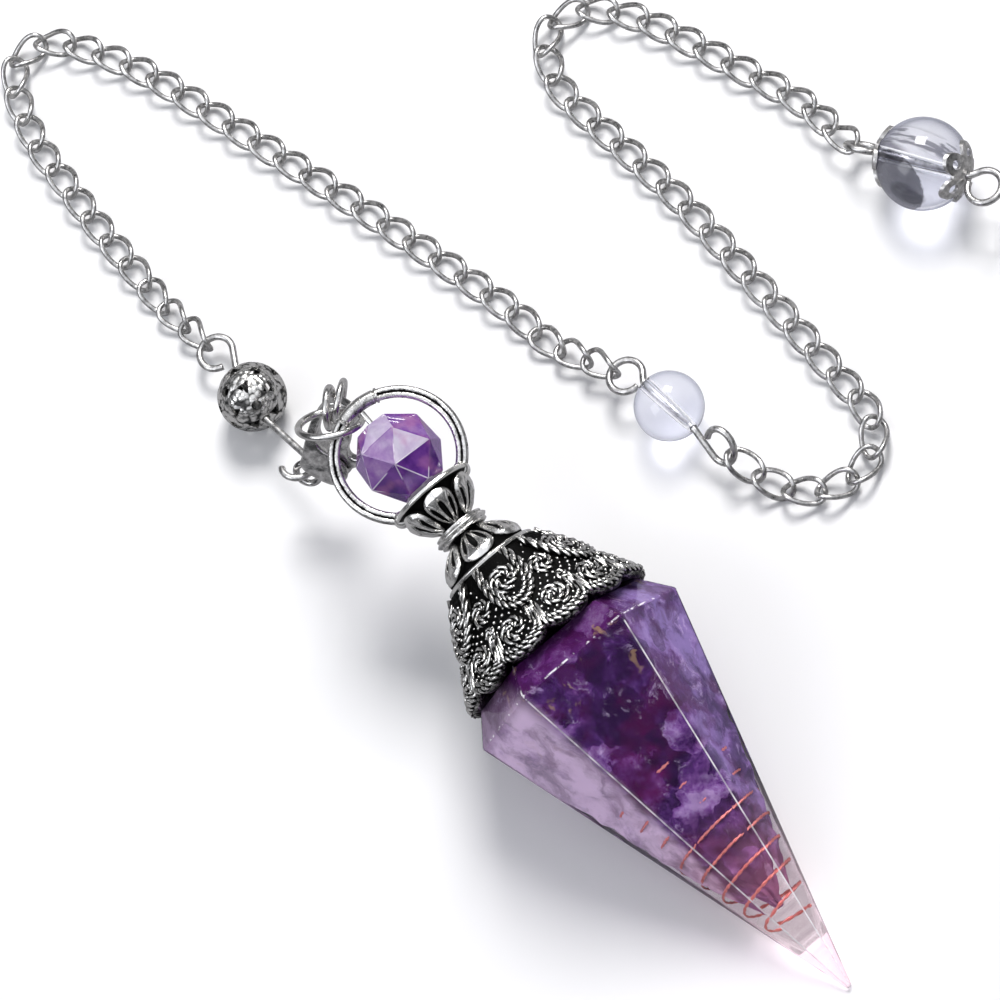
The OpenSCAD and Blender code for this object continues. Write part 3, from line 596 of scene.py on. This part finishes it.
def onCap(angle, t, height=0.0):
    # a point of the bell, raised square to it
    a = np.radians(angle)
    lean = math.radians(cap["slope"])
    r = capRadius(t) + height * math.cos(lean)
    return onPendant(r * np.cos(a), r * np.sin(a), cap["top"] - t * cap["height"] + height * math.sin(lean))


def petalEdge(angle):
    # how far down the raised petals reach: half an ellipse each, and none between them
    x = offRay(angle, cap["petals"], 90) / cap["petalHalf"]
    return np.where(abs(x) < 1, cap["petalReach"] * np.sqrt(np.maximum(0, 1 - x * x)), 0)


def capShell():
    # outer rows from the top to the hem, raised on the petals and grained by sines, then inner rows back up
    angle = np.linspace(360, 0, cap["cols"], endpoint=False)[None, :]
    share = np.linspace(0, 1, cap["rows"])[:, None]
    t = share * hemShare(angle)
    petal = petalEdge(angle)
    raised = cap["petalRise"] * ease((petal - t) / 0.05 + 0.5) * (petal > 0)
    grain = 0.06 * np.sin(angle * 1.9) * np.sin(t * 95) + 0.05 * np.sin(angle * 3.1 + t * 60)
    outer = onCap(angle, t, np.where(share > 0, raised + grain, 0))
    inShare = np.array([1, 0.7, 0.4, 0.1])[:, None]
    inT = inShare * hemShare(angle)
    inner = onCap(angle, inT, -cap["wall"])
    points = np.concatenate([outer, inner])
    shine = np.concatenate([np.broadcast_to(0.12 + 0.3 * ease((share - 0.97) / 0.03), outer.shape[:2]),
                            np.full(inner.shape[:2], 0.3)])
    return points, tubeFaces(len(points), cap["cols"]), shine.ravel()


def rope(angle, t, lift, radius):
    # tubes along many lines of the bell; two strands: radius * (1 + 0.34 * cos(2 a - turning with the run))
    paths = onCap(angle, t, lift)
    run = np.linalg.norm(np.diff(paths, axis=1), axis=-1).sum(1).mean()
    pitch = cap["ropePitch"] * radius / cap["rope"]
    rows, sides = paths.shape[1], cap["ropeSides"]

    def strands(i, a):
        return 1 + 0.34 * np.cos(2 * a - 2 * np.pi * i * run / (rows * pitch))

    up = unit(onCap(angle, t, lift + 1) - paths)
    points, faces = sweep(paths, radius, sides, False, up, strands)
    a = around(sides)
    thick = strands(np.arange(rows)[:, None], a[None, :])
    shine = np.clip(0.62 * np.cos(a)[None, :] + 1.9 * (thick - 1) + 0.2, 0, 1)
    return points, faces, np.broadcast_to(shine, (paths.shape[0], rows, sides)).ravel()


# Rows of scrolls: how many, the first one's angle, how far down the bell, outer and inner radius, turns,
# points along each, lift and thickness; where mirrored, every other one winds the other way
scrolls = [
    dict(count=6, first=90, down=0.285, size=1.75, inner=0.5, turns=1.9, rows=140, lift=0.52, radius=0.27),
    dict(count=12, first=105, down=0.735, size=1.65, inner=0.42, turns=1.8, rows=120, lift=0.16, radius=0.26,
         mirrored=True),
    dict(count=6, first=120, down=0.37, size=1.5, inner=0.4, turns=1.7, rows=90, lift=0.12, radius=0.25),
    dict(count=6, first=120, down=0.6, size=0.66, inner=0.3, turns=1.0, rows=40, lift=0.12, radius=0.22),
    dict(count=6, first=90, down=0.7, size=0.55, inner=0.25, turns=1.0, rows=36, lift=0.12, radius=0.21)]


def evenly(count, first):
    # the angles of count rays in degrees, as a column
    return (first + 360 / count * np.arange(count))[:, None]


def curls(count, first, down, size, inner, turns, rows, lift, radius, mirrored=False):
    # spirals round evenly spaced middles: the radius falls evenly from size to inner
    hand = np.where(np.arange(count) % 2, 1, -1)[:, None] if mirrored else 1
    k = np.linspace(0, 1, rows)[None, :]
    turn = 2 * np.pi * turns * k + np.pi / 2
    r = size + (inner - size) * k
    t = down + r * np.sin(turn) / cap["height"] / 1.15
    angle = evenly(count, first) + hand * np.degrees(r * np.cos(turn) / capRadius(down))
    return rope(angle, t, lift, radius)


grains = dict(count=900, radius=0.2, rings=(20, 60, 100, 140), sides=6,
              goldenStep=0.6180339887, sizeStep=0.7548776662)


def granules():
    # small half-sunk balls, scattered evenly by the golden ratio, their size varied by another such step
    n = np.arange(grains["count"])
    angle = 360 * (n * grains["goldenStep"] % 1)
    t = 0.03 + 0.9 * np.sqrt((n + 0.5) / grains["count"])
    middle = onCap(angle, t * hemShare(angle), 0.03 + 0.4 * (t < petalEdge(angle)))
    rows, cols = len(grains["rings"]), grains["sides"]
    u, v = np.meshgrid(np.radians(grains["rings"]), around(cols), indexing="ij")
    ball = stack(np.sin(u) * np.cos(v), np.sin(u) * np.sin(v), np.cos(u)).reshape(-1, 3)
    size = grains["radius"] * (0.7 + 0.5 * (n * grains["sizeStep"] % 1))
    points = middle[:, None] + size[:, None, None] * ball[None]
    end = np.arange(cols)
    shift = n[:, None] * len(ball)
    sides = gridFaces(rows, cols, False, True)[:, ::-1]
    faces = [(sides[None] + shift[:, :, None]).reshape(-1, 4), end[None] + shift,
             end[::-1][None] + cols * (rows - 1) + shift]
    return points, faces, 0.85


# ropes round each petal and lobe: reach to each side in degrees, top and height down the bell, and lift
edging = dict(points=100, petal=(19.6, 0.02, 0.585, 0.5), inPetal=(15.4, 0.03, 0.5, 0.46),
              hem=(15.6, 0.028, 0.18), inHem=(12.3 / 0.93, 0.08, 0.14), hemSpan=0.93, hemRise=0.2)


def capRopes():
    # petals: an arch by the cosine of the way along it; lobes: the hem's own line, rising at its two ends
    petals, lobes = evenly(cap["petals"], 90), evenly(cap["lobes"], 105)
    k = np.linspace(-1, 1, edging["points"])[None, :]
    wave, arch = np.sin(k * np.pi / 2), np.abs(np.cos(k * np.pi / 2)) ** 0.9
    ropes = []
    for place, radius in (("petal", cap["rope"]), ("inPetal", cap["fineRope"])):
        reach, top, height, lift = edging[place]
        ropes.append(rope(petals + reach * wave, top + height * arch, lift, radius))
    x = edging["hemSpan"] * wave
    rise = edging["hemRise"] * ease((abs(k) - 0.72) / 0.28)
    for place, radius in (("hem", cap["rope"]), ("inHem", cap["fineRope"])):
        reach, above, lift = edging[place]
        ropes.append(rope(lobes + reach * x, lobeShare(x) - above - rise, lift, radius))
    return ropes + [curls(**row) for row in scrolls]


addPiece("petalCap", [capShell()], "antique", stands=["cap_skirt"])
addPiece("capRopes", capRopes(), "antique")
addPiece("capGrains", [granules()], "antique")
print("cap made")

# Finial: two lotus cups back to back on a waist ring, a bail ring of two wires, its collar and bosses
# cupShape rows: share of the height, ground radius as a share of the rim's, and bulge of the petals;
# slots: place across a petal, half width, half length; bail's at: the middle of its ring, along the axis
lotus = dict(foot=60.18, lowH=5.3, highH=5.5, lowR=5.7, highR=4.9, waistR=3.2, waistT=1.1, petals=6,
             coreR=1.9, bulge=0.75, cols=432, rows=70, waistRows=17, bowlR=5.5, bowlRows=24,
             slots=((-0.54, 0.13, 0.52), (0, 0.16, 0.62), (0.54, 0.13, 0.52)))
cupShape = np.array([[0, 1, 0], [0.08, 1.02, 0], [0.16, 0.92, 0.1], [0.34, 0.8, 0.75], [0.56, 0.64, 1],
                     [0.78, 0.47, 0.8], [0.93, 0.36, 0.2], [1.0, 0.36, 0.0]])
bail = dict(rim=70.98, ringR=7.1, footR=4.5, wireR=0.4, spread=0.3, rows=180, sides=16,
            collarR=0.8, collarHalf=21.0, collarRows=90, collarSides=20,
            boss=1.0, bossX=4.25, bossS=70.63, bossRows=28, bossCols=32)
bail["at"] = bail["rim"] + math.sqrt(bail["ringR"] ** 2 - bail["footR"] ** 2)


def lotusCup(rimR, rimS, waistS):
    # rows from the rim to the waist: a tapering ground, and on it six petals, each with an almond and a rim
    angle = np.linspace(0, 360, lotus["cols"], endpoint=False)[None, :]
    h = np.linspace(0, 1, lotus["rows"])[:, None]
    ground = np.maximum(lotus["coreR"], rimR * np.interp(h, cupShape[:, 0], cupShape[:, 1]))
    x = offRay(angle, lotus["petals"], 90) / (180 / lotus["petals"])
    y = (h - 0.57) / 0.42
    q = np.sqrt((x / 0.95) ** 2 + abs(y) ** 2.6)
    body = np.sqrt(np.maximum(0, 1 - q ** 3))
    bulge = lotus["bulge"] * np.interp(h, cupShape[:, 0], cupShape[:, 2])
    slots = [np.sqrt(((x - at * (1 - 0.3 * y)) / wide) ** 2 + ((y - 0.2) / long) ** 2)
             for at, wide, long in lotus["slots"]]
    near = np.minimum.reduce(slots)
    groove = ease((1.15 - near) / 0.4)
    lip = np.exp(-((near - 1.3) / 0.22) ** 2)
    raised = (bulge + 0.28) * body - 0.36 * groove * (q < 0.97) + 0.05 * lip * (q < 0.9)
    r = ground + raised - 0.25 * (q >= 1) * ease((h - 0.1) / 0.06) * ease((1 - h) / 0.1)
    shine = np.where(q < 1, 0.62 - 0.6 * groove + 0.3 * lip + 0.3 * ease((-0.1 - y) / 0.4), 0.04)
    shine = np.where(h < 0.115, 0.95, shine)
    shine = np.where(q < 1, np.minimum(shine, 0.1 + 7 * (1 - q)), shine)
    a = np.radians(angle)
    s = rimS + (waistS - rimS) * h
    return onPendant(r * np.cos(a), r * np.sin(a), s + 0 * a), shine


def finialBody():
    # one tube: up the lower cup, over the rippled waist ring, up the upper cup and down into its bowl
    waistAt = lotus["foot"] + lotus["lowH"]
    rim = waistAt + lotus["highH"]
    low, lowShine = lotusCup(lotus["lowR"], lotus["foot"], waistAt - lotus["waistT"] / 2)
    high, highShine = lotusCup(lotus["highR"], rim, waistAt + lotus["waistT"] / 2)
    angle = np.radians(np.linspace(0, 360, lotus["cols"], endpoint=False))[None, :]
    k = np.radians(np.linspace(-90, 90, lotus["waistRows"]))[:, None]
    ripple = 0.16 * np.cos(k * 6) * (1 + 0 * angle)
    r = lotus["waistR"] - 0.66 + (0.66 + ripple) * np.cos(k) ** 0.8
    s = waistAt + 0.62 * lotus["waistT"] * np.sin(k)
    waist = onPendant(r * np.cos(angle), r * np.sin(angle), s + 0 * angle)
    # the bowl is part of a ball round the bead
    beadAt, bowlR = bail["at"] - 0.3, lotus["bowlR"]
    dip = np.linspace(math.acos((beadAt - rim) / bowlR), 0.24, lotus["bowlRows"])[:, None]
    bowl = onPendant(bowlR * np.sin(dip) * np.cos(angle), bowlR * np.sin(dip) * np.sin(angle),
                     beadAt - bowlR * np.cos(dip) + 0 * angle)
    points = np.concatenate([low, waist, high[::-1], bowl])
    shine = np.concatenate([lowShine, 0.72 + 0.9 * ripple, highShine[::-1], np.full(bowl.shape[:2], 0.35)])
    return points, tubeFaces(*points.shape[:2]), shine.ravel()


def ringArc(start, end, radius, rows):
    # points of a circle in the plane of the axis and the table's X, angles from +X
    a = np.radians(np.linspace(start, end, rows))
    return onPendant(radius * np.cos(a), 0 * a, bail["at"] + radius * np.sin(a))[None]


def dishedBall(x, s):
    # a ball whose pole facing up from the table is dished, by a bell curve of the angle from it
    rows, cols = bail["bossRows"], bail["bossCols"]
    k = np.linspace(2, 178, rows)[:, None]
    a = np.radians(np.linspace(0, 360, cols, endpoint=False))[None, :]
    r = bail["boss"] * (1 - 0.25 * np.exp(-(k / 26) ** 2))
    k = np.radians(k)
    points = onPendant(x + r * np.sin(k) * np.cos(a), -r * np.cos(k) + 0 * a, s + r * np.sin(k) * np.sin(a))
    shine = 0.35 + 0.5 * ease((k - 0.35) / 0.4) + 0 * a
    return points, tubeFaces(rows, cols), shine.ravel()


def bailWire(side, foot, acrossTable):
    # bright on its ridge and greyer on its flank, a painted highlight and painted shade; dark in the groove
    # between the two wires
    rows, sides = bail["rows"], bail["sides"]
    path = ringArc(-foot, 180 + foot, bail["ringR"] + side * bail["spread"], rows)
    a = around(sides)
    fromGroove = abs(side * bail["spread"] - bail["wireR"] * np.sin(a))
    # painted highlight on the wire's front and back, painted shade on its flanks; darker still in the groove
    shine = (0.38 + 0.34 * abs(np.cos(a))) * ease(fromGroove / 0.22)
    return sweep(path, bail["wireR"], sides, False, acrossTable) + (np.tile(shine, rows),)


def bailCollar(acrossTable):
    # a thicker sleeve on the ring's top, grooved near its two ends and lipped at them
    half, rows = bail["collarHalf"], bail["collarRows"]
    along = np.linspace(-1, 1, rows)

    def grooves(i, a):
        x = abs(along[i])
        return 1 + 0.1 * (x > 0.9) - 0.22 * np.exp(-((x - 0.86) / 0.025) ** 2) + 0 * a

    path = ringArc(90 - half, 90 + half, bail["ringR"], rows)
    return sweep(path, bail["collarR"], bail["collarSides"], False, acrossTable, grooves) + (0.6,)


def bailRing():
    foot = math.degrees(math.asin((bail["at"] - bail["rim"]) / bail["ringR"])) + 4
    acrossTable = onPendant(0, 1, 0) - onPendant(0, 0, 0)
    wires = [bailWire(side, foot, acrossTable) for side in (-1, 1)]
    bosses = [dishedBall(side * bail["bossX"], bail["bossS"]) for side in (-1, 1)]
    return wires + [bailCollar(acrossTable)] + bosses


addPiece("lotusFinial", [finialBody()] + bailRing(), "antique", stands=["bail_finial"])
print("finial made")


# Rings and pins
rings = dict(wire=0.42, rows=96, sides=16)


def smoothRing(name, node):
    # a torus on the CAD ring's middle, plane and reach
    raw = nodePoints(node)
    middle = (raw.max(0) + raw.min(0)) / 2
    spread = np.linalg.svd(raw - raw.mean(0), full_matrices=False)[2]
    reach = np.linalg.norm(raw - middle, axis=1).max() - rings["wire"]
    a = around(rings["rows"])[:, None]
    path = middle + reach * (np.cos(a) * spread[0] + np.sin(a) * spread[1])
    torus = sweep(path[None], rings["wire"], rings["sides"], True, spread[2])
    addPiece(name, [torus], "bright", stands=[node])


smoothRing("bailLink", "link_ring")
smoothRing("jumpRingA", "jump_ring_1")
smoothRing("jumpRingB", "jump_ring_2")

# Each pin: middle, heading, dip, half its straight part; each eye: radius, reach, offset, sweep, twist, lift
pinWire = dict(radius=0.4, sides=14, stemRows=16, eyeRows=60, rows=12)
pins = dict(
    filigree=dict(at=(-36.9, 20.9, 4.0), heading=84, dip=15.6, straight=4.4,
                  front=(2.0, 8.1, -0.7, 285, 180, 0.2), back=(1.75, 12.6, 0, 215, 200, 0)),
    middle=dict(at=(-2.0, -13.5, 4.0), heading=95, dip=0, straight=4.3,
                front=(2.0, 6.5, -0.8, 310, 180, -0.15), back=(1.9, 7.8, -1.0, 300, -50, -0.25)),
    end=dict(at=(37.3, -11.4, 5.3), heading=118, dip=9, straight=5.95,
             front=(2.0, 7.9, -0.6, 300, 60, 0), back=(2.0, 8.2, -0.8, 310, 180, 0)))


def toTable(pin, points):
    # turned by the pin's dip and heading, and moved to its place
    turn = Euler((0, math.radians(pin["dip"]), math.radians(pin["heading"]))).to_matrix()
    return points @ np.array(turn).T + np.array(pin["at"])


def eyeLine(pin, eye, side):
    # the stem's tangent to the eye, then round the eye; lifted beyond the straight part
    r, reach, offset, sweepBy, twist, lift = eye
    start = pin["straight"]
    dx, dy = -offset, start - reach
    facing = math.atan2(dy, dx)
    turn = math.acos(r / math.hypot(dx, dy))
    a = facing + turn + np.radians(np.linspace(0, sweepBy, pinWire["eyeRows"]))
    eyePoints = np.stack([offset + r * np.cos(a), reach + r * np.sin(a)], 1)
    foot = np.array([[0, start]])
    stem = np.linspace(0, 1, pinWire["stemRows"])[:-1, None] * (eyePoints[:1] - foot) + foot
    across, along = np.concatenate([stem, eyePoints]).T
    turned = math.radians(twist)
    rise = across * math.sin(turned) + lift * np.maximum(0, along - start)
    return np.stack([side * along, across * math.cos(turned), rise], 1)


def pinPiece(name, node, pin):
    # one wire: the back eye, the straight part through the bead, the front eye
    half = pin["straight"]
    straight = np.linspace(-half, half, pinWire["rows"])[1:-1, None] * np.array([[1.0, 0, 0]])
    line = np.concatenate([eyeLine(pin, pin["back"], -1)[::-1], straight, eyeLine(pin, pin["front"], 1)])
    line = toTable(pin, line)
    along = unit(np.gradient(line, axis=0))
    up = np.array([0.11, 0.17, 0.98]) + 0 * line
    up = up - (up * along).sum(1, keepdims=True) * along * 0.98
    wire = sweep(line[None], pinWire["radius"], pinWire["sides"], False, up[None])
    addPiece(name, [wire], "chain", stands=[node])


pinPiece("filigreePin", "filigree_eye_pin", pins["filigree"])
pinPiece("middlePin", "middle_eye_pin", pins["middle"])
pinPiece("endPin", "end_eye_pin", pins["end"])
print("rings and pins made")


# Clear beads: spheres with a drilled channel; the larger one has painted refraction and a darker painted rim
# shade
beads = dict(middleR=4.0, endR=5.3, bore=0.52, rows=72, boreRows=12, cols=96)
# the larger bead's painted refraction: where its dark patch lies, its size, how the streaks are drawn out,
# and their colours
endPaintedRefraction = dict(patch=(32.5, -11.8, 7.5), wide=4.3, drawn=(0.12, 1.0, 0.3),
                streak=(0.07, 0.07, 0.1, 1), darkRefraction=(0.02, 0.02, 0.03, 1))
finishes["glassPaintedRefraction"] = clearGlass("glassWithPaintedRefraction", (0.3, 0.31, 0.4, 1), pins["end"], endPaintedRefraction)


def glassBead(name, node, pin, radius, finish):
    # a half circle from bore to bore turned about the pin, and back through the bore
    bore, count, cols = beads["bore"], beads["boreRows"], beads["cols"]
    edge = math.asin(bore / radius)
    k = np.linspace(edge, np.pi - edge, beads["rows"])
    inBore = np.linspace(-1, 1, count + 2)[1:-1] * radius * math.cos(edge)
    x = np.concatenate([radius * np.cos(k), inBore])
    r = np.concatenate([radius * np.sin(k), np.full(count, bore)])
    a = around(cols)
    points = toTable(pin, stack(x[:, None], r[:, None] * np.cos(a), r[:, None] * np.sin(a)).reshape(-1, 3))
    faces = gridFaces(len(x), cols, True, True)[:, ::-1]
    addPiece(name, [(points, [faces])], finish, stands=[node], sharp=50)


glassBead("middleGlass", "middle_bead", pins["middle"], beads["middleR"], "glass")
glassBead("endGlass", "end_bead", pins["end"], beads["endR"], "glassPaintedRefraction")
print("clear beads made")


# Chains: smooth twisted links on the middles and axes of the CAD links
link = dict(length=4.84, width=2.88, wire=0.3, rows=36, sides=10, rounds=40)


def chainPiece(name, node):
    # on each link's middle and axes: an oval, its depth by the sine of twice the angle
    mesh = nodes[node].data
    where, same = np.unique(np.round(nodePoints(node), 3), axis=0, return_inverse=True)
    edges = np.empty(len(mesh.edges) * 2, dtype=np.int64)
    mesh.edges.foreach_get("vertices", edges)
    edges = same.ravel()[edges.reshape(-1, 2)]
    label = np.arange(len(where))
    for _ in range(link["rounds"]):  # each point takes the lowest label of its link
        np.minimum.at(label, edges[:, 0], label[edges[:, 1]])
        np.minimum.at(label, edges[:, 1], label[edges[:, 0]])
    names, group = np.unique(label, return_inverse=True)
    group = group.ravel()
    count = np.bincount(group)
    middle = np.stack([np.bincount(group, where[:, k]) for k in range(3)], 1) / count[:, None]
    off = where - middle[group]
    spread = [[np.bincount(group, off[:, j] * off[:, k]) for j in range(3)] for k in range(3)]
    axes = np.linalg.eigh(np.array(spread).transpose(2, 0, 1))[1]
    along, width = axes[:, :, 2], axes[:, :, 1]
    depth = np.cross(along, width)
    a = around(link["rows"])[:, None]
    line = middle[:, None] + link["length"] / 2 * np.cos(a) * along[:, None]
    line = line + link["width"] / 2 * np.sin(a) * width[:, None]
    line = line + link["width"] / 4 * np.sin(2 * a) * depth[:, None]
    wires = sweep(line, link["wire"], link["sides"], True, unit(line - middle[:, None]))
    addPiece(name, [wires], "chain", stands=[node])
    print(name, "has", len(names), "links")


chainPiece("longChain", "chain_long")
chainPiece("shortChain", "chain_short")

# Cut bead: the CAD shape with narrow edges, pale partly by wear and partly as a painted highlight
gem = dict(edge=0.07, sharp=12, small=2.0)
# facing in the pendant's frame, and how pale that facet is painted: a painted highlight on the pale facets,
# painted shade on the dark ones
gemFacetLight = [((0.3, -0.93, -0.17), 0.95), ((0.31, -0.74, -0.6), 0.12), ((-0.41, -0.7, -0.57), 0.14),
            ((-0.49, -0.8, 0.35), 0.5), ((0.11, -0.74, 0.66), 0.82), ((0.76, -0.62, 0.19), 0.35),
            ((-0.1, -0.98, 0.0), 0.6), ((-0.9, -0.3, 0.0), 0.3), ((0.9, 0.3, -0.3), 0.3),
            ((0.5, 0.8, 0.3), 0.6), ((-0.5, 0.8, -0.3), 0.4), ((0.0, 0.7, 0.7), 0.25),
            ((0.1, 0.6, -0.8), 0.8)]


def paintFacetLight(mesh):
    # each facet takes the painted light and shade tone of the direction nearest to its normal
    facing = np.empty(len(mesh.polygons) * 3)
    mesh.polygons.foreach_get("normal", facing)
    lean = math.radians(lay["lean"])
    axes = np.array([[1, 0, 0], [0, math.sin(lean), -math.cos(lean)], [0, math.cos(lean), math.sin(lean)]])
    local = facing.reshape(-1, 3) @ axes.T
    ways = unit(np.array([way for way, tone in gemFacetLight]))
    tones = np.array([tone for way, tone in gemFacetLight])
    setValue(mesh, "tone", "FACE", tones[np.argmax(local @ ways.T, axis=1)])


gemPiece = addPiece("cutBead", nodeCopy("cutBead", "faceted_bead"), "gem", body="gem",
                    stands=["faceted_bead"])
bevelEdges(gemPiece, gem["edge"], gem["sharp"], gem["small"])
paintFacetLight(gemPiece.data)

# Clasp: the CAD shape, softened
clasp = dict(bodyCell=0.09, leverCell=0.07, passes=60, share=0.5)


def castCopy(name, node, body, cell):
    # remeshed finely and smoothed, so that the sawn outline reads as a casting
    piece = addPiece(name, nodeCopy(name, node), "cast", body=body, stands=[node])
    remesh = piece.modifiers.new("cells", "REMESH")
    remesh.mode = "VOXEL"
    remesh.voxel_size = cell * mm
    soften = piece.modifiers.new("soften", "SMOOTH")
    soften.iterations = clasp["passes"]
    soften.factor = clasp["share"]
    bakeModifiers(piece)
    shadeFaces(piece.data, True)


castCopy("claspCast", "clasp_body", "pendant", clasp["bodyCell"])
castCopy("claspLever", "clasp_lever", "lever", clasp["leverCell"])

# Pierced bead, bead caps and bail pin: the CAD shapes with a finish
finishes["grains"] = granulatedSilver(pins["filigree"]["at"])
asTheyAre = dict(filigree_bead="grains", end_cap_inner="flower", end_cap_outer="flower", bail_pin="bright")
for node, finish in asTheyAre.items():
    nodes[node].data.materials.clear()
    nodes[node].data.materials.append(finishes[finish])
print("all pieces made")

# Floor, light and camera
view = dict(target=(-23.085, -7.16, 0.0), distance=627.7, elevation=66.0, azimuth=-4.5, roll=-36.0,
            lens=200.0)
floorHalf = 3.0  # metres


def cameraAxes():
    # right, up and back of the camera from its azimuth, elevation and roll
    azimuth, elevation, roll = (math.radians(view[key]) for key in ("azimuth", "elevation", "roll"))
    level = math.cos(elevation)
    back = Vector((level * math.sin(azimuth), -level * math.cos(azimuth), math.sin(elevation)))
    right = Vector((math.cos(azimuth), math.sin(azimuth), 0))
    up = back.cross(right)
    return (math.cos(roll) * right + math.sin(roll) * up, math.cos(roll) * up - math.sin(roll) * right, back)


right, up, back = cameraAxes()
camera = bpy.data.objects.new("camera", bpy.data.cameras.new("camera"))
camera.data.lens = view["lens"]
camera.data.sensor_width = 36
camera.data.clip_start = 0.05
camera.data.clip_end = 20
spot = (Vector(view["target"]) + view["distance"] * back) * mm
camera.matrix_world = Matrix.Translation(spot) @ Matrix((right, up, back)).transposed().to_4x4()
bpy.context.scene.collection.objects.link(camera)
bpy.context.scene.camera = camera

floorMesh = bpy.data.meshes.new("floor")
floorMesh.from_pydata([(x * floorHalf, y * floorHalf, 0) for x, y in ((-1, -1), (1, -1), (1, 1), (-1, 1))],
                      [], [(0, 1, 2, 3)])
floor = bpy.data.objects.new("floor", floorMesh)
bpy.context.scene.collection.objects.link(floor)


def paperFloor():
    # white, but a dull grey where metal mirrors it, as a small sheet in a darker room would be
    made = Finish("paper")
    tone = made.mix(made.noise(made.place(), 60.0), (0.93, 0.93, 0.94, 1), (0.95, 0.95, 0.96, 1))
    sheet = made.node("BsdfDiffuse", inputs={"Color": tone})
    room = made.node("BsdfDiffuse", inputs={"Color": (0.36, 0.36, 0.37, 1)})
    mirrored = made.node("LightPath", output=3) * (1 - made.node("LightPath", output=6))
    paper = made.node("MixShader", inputs={0: mirrored, 1: sheet, 2: room})
    made.node("OutputMaterial", inputs={0: paper})
    return made.material


floorMesh.materials.append(paperFloor())

lights = dict(
    key=dict(at=(0.36, 0.32, 0.62), size=0.3, power=6.0, colour=(1.0, 0.985, 0.97)),
    fill=dict(at=(-0.5, 0.05, 0.5), size=0.35, power=1.1, colour=(0.93, 0.95, 1.0)))
for name, lamp in lights.items():
    data = bpy.data.lights.new(name, "AREA")
    data.size = lamp["size"]
    data.energy = lamp["power"]
    data.color = lamp["colour"]
    made = bpy.data.objects.new(name, data)
    made.location = lamp["at"]
    made.rotation_euler = (Vector((0, 0, 0)) - Vector(lamp["at"])).to_track_quat("-Z", "Y").to_euler()
    bpy.context.scene.collection.objects.link(made)


def roomLight():
    # bright overhead, dark towards the horizon; brighter seen through glass, dimmer on the paper
    made = Finish("room", bpy.data.worlds.new("room"))
    height = made.axis(made.node("TexCoord", output=0), 2)
    throughGlass = made.node("LightPath", output=6)
    onPaper = made.node("LightPath", output=2)
    glow = height.between(0.45, 0.9, 0.1, 1.0).most(throughGlass * height.between(-0.1, 0.6, 0.6, 0.9))
    sky = made.node("Background", inputs={0: (0.93, 0.95, 1.0, 1), 1: glow * (1 - onPaper * 0.45)})
    made.node("OutputWorld", inputs={0: sky})
    return made.material


bpy.context.scene.world = roomLight()
bpy.context.scene.view_settings.view_transform = "Standard"
print("stage set")
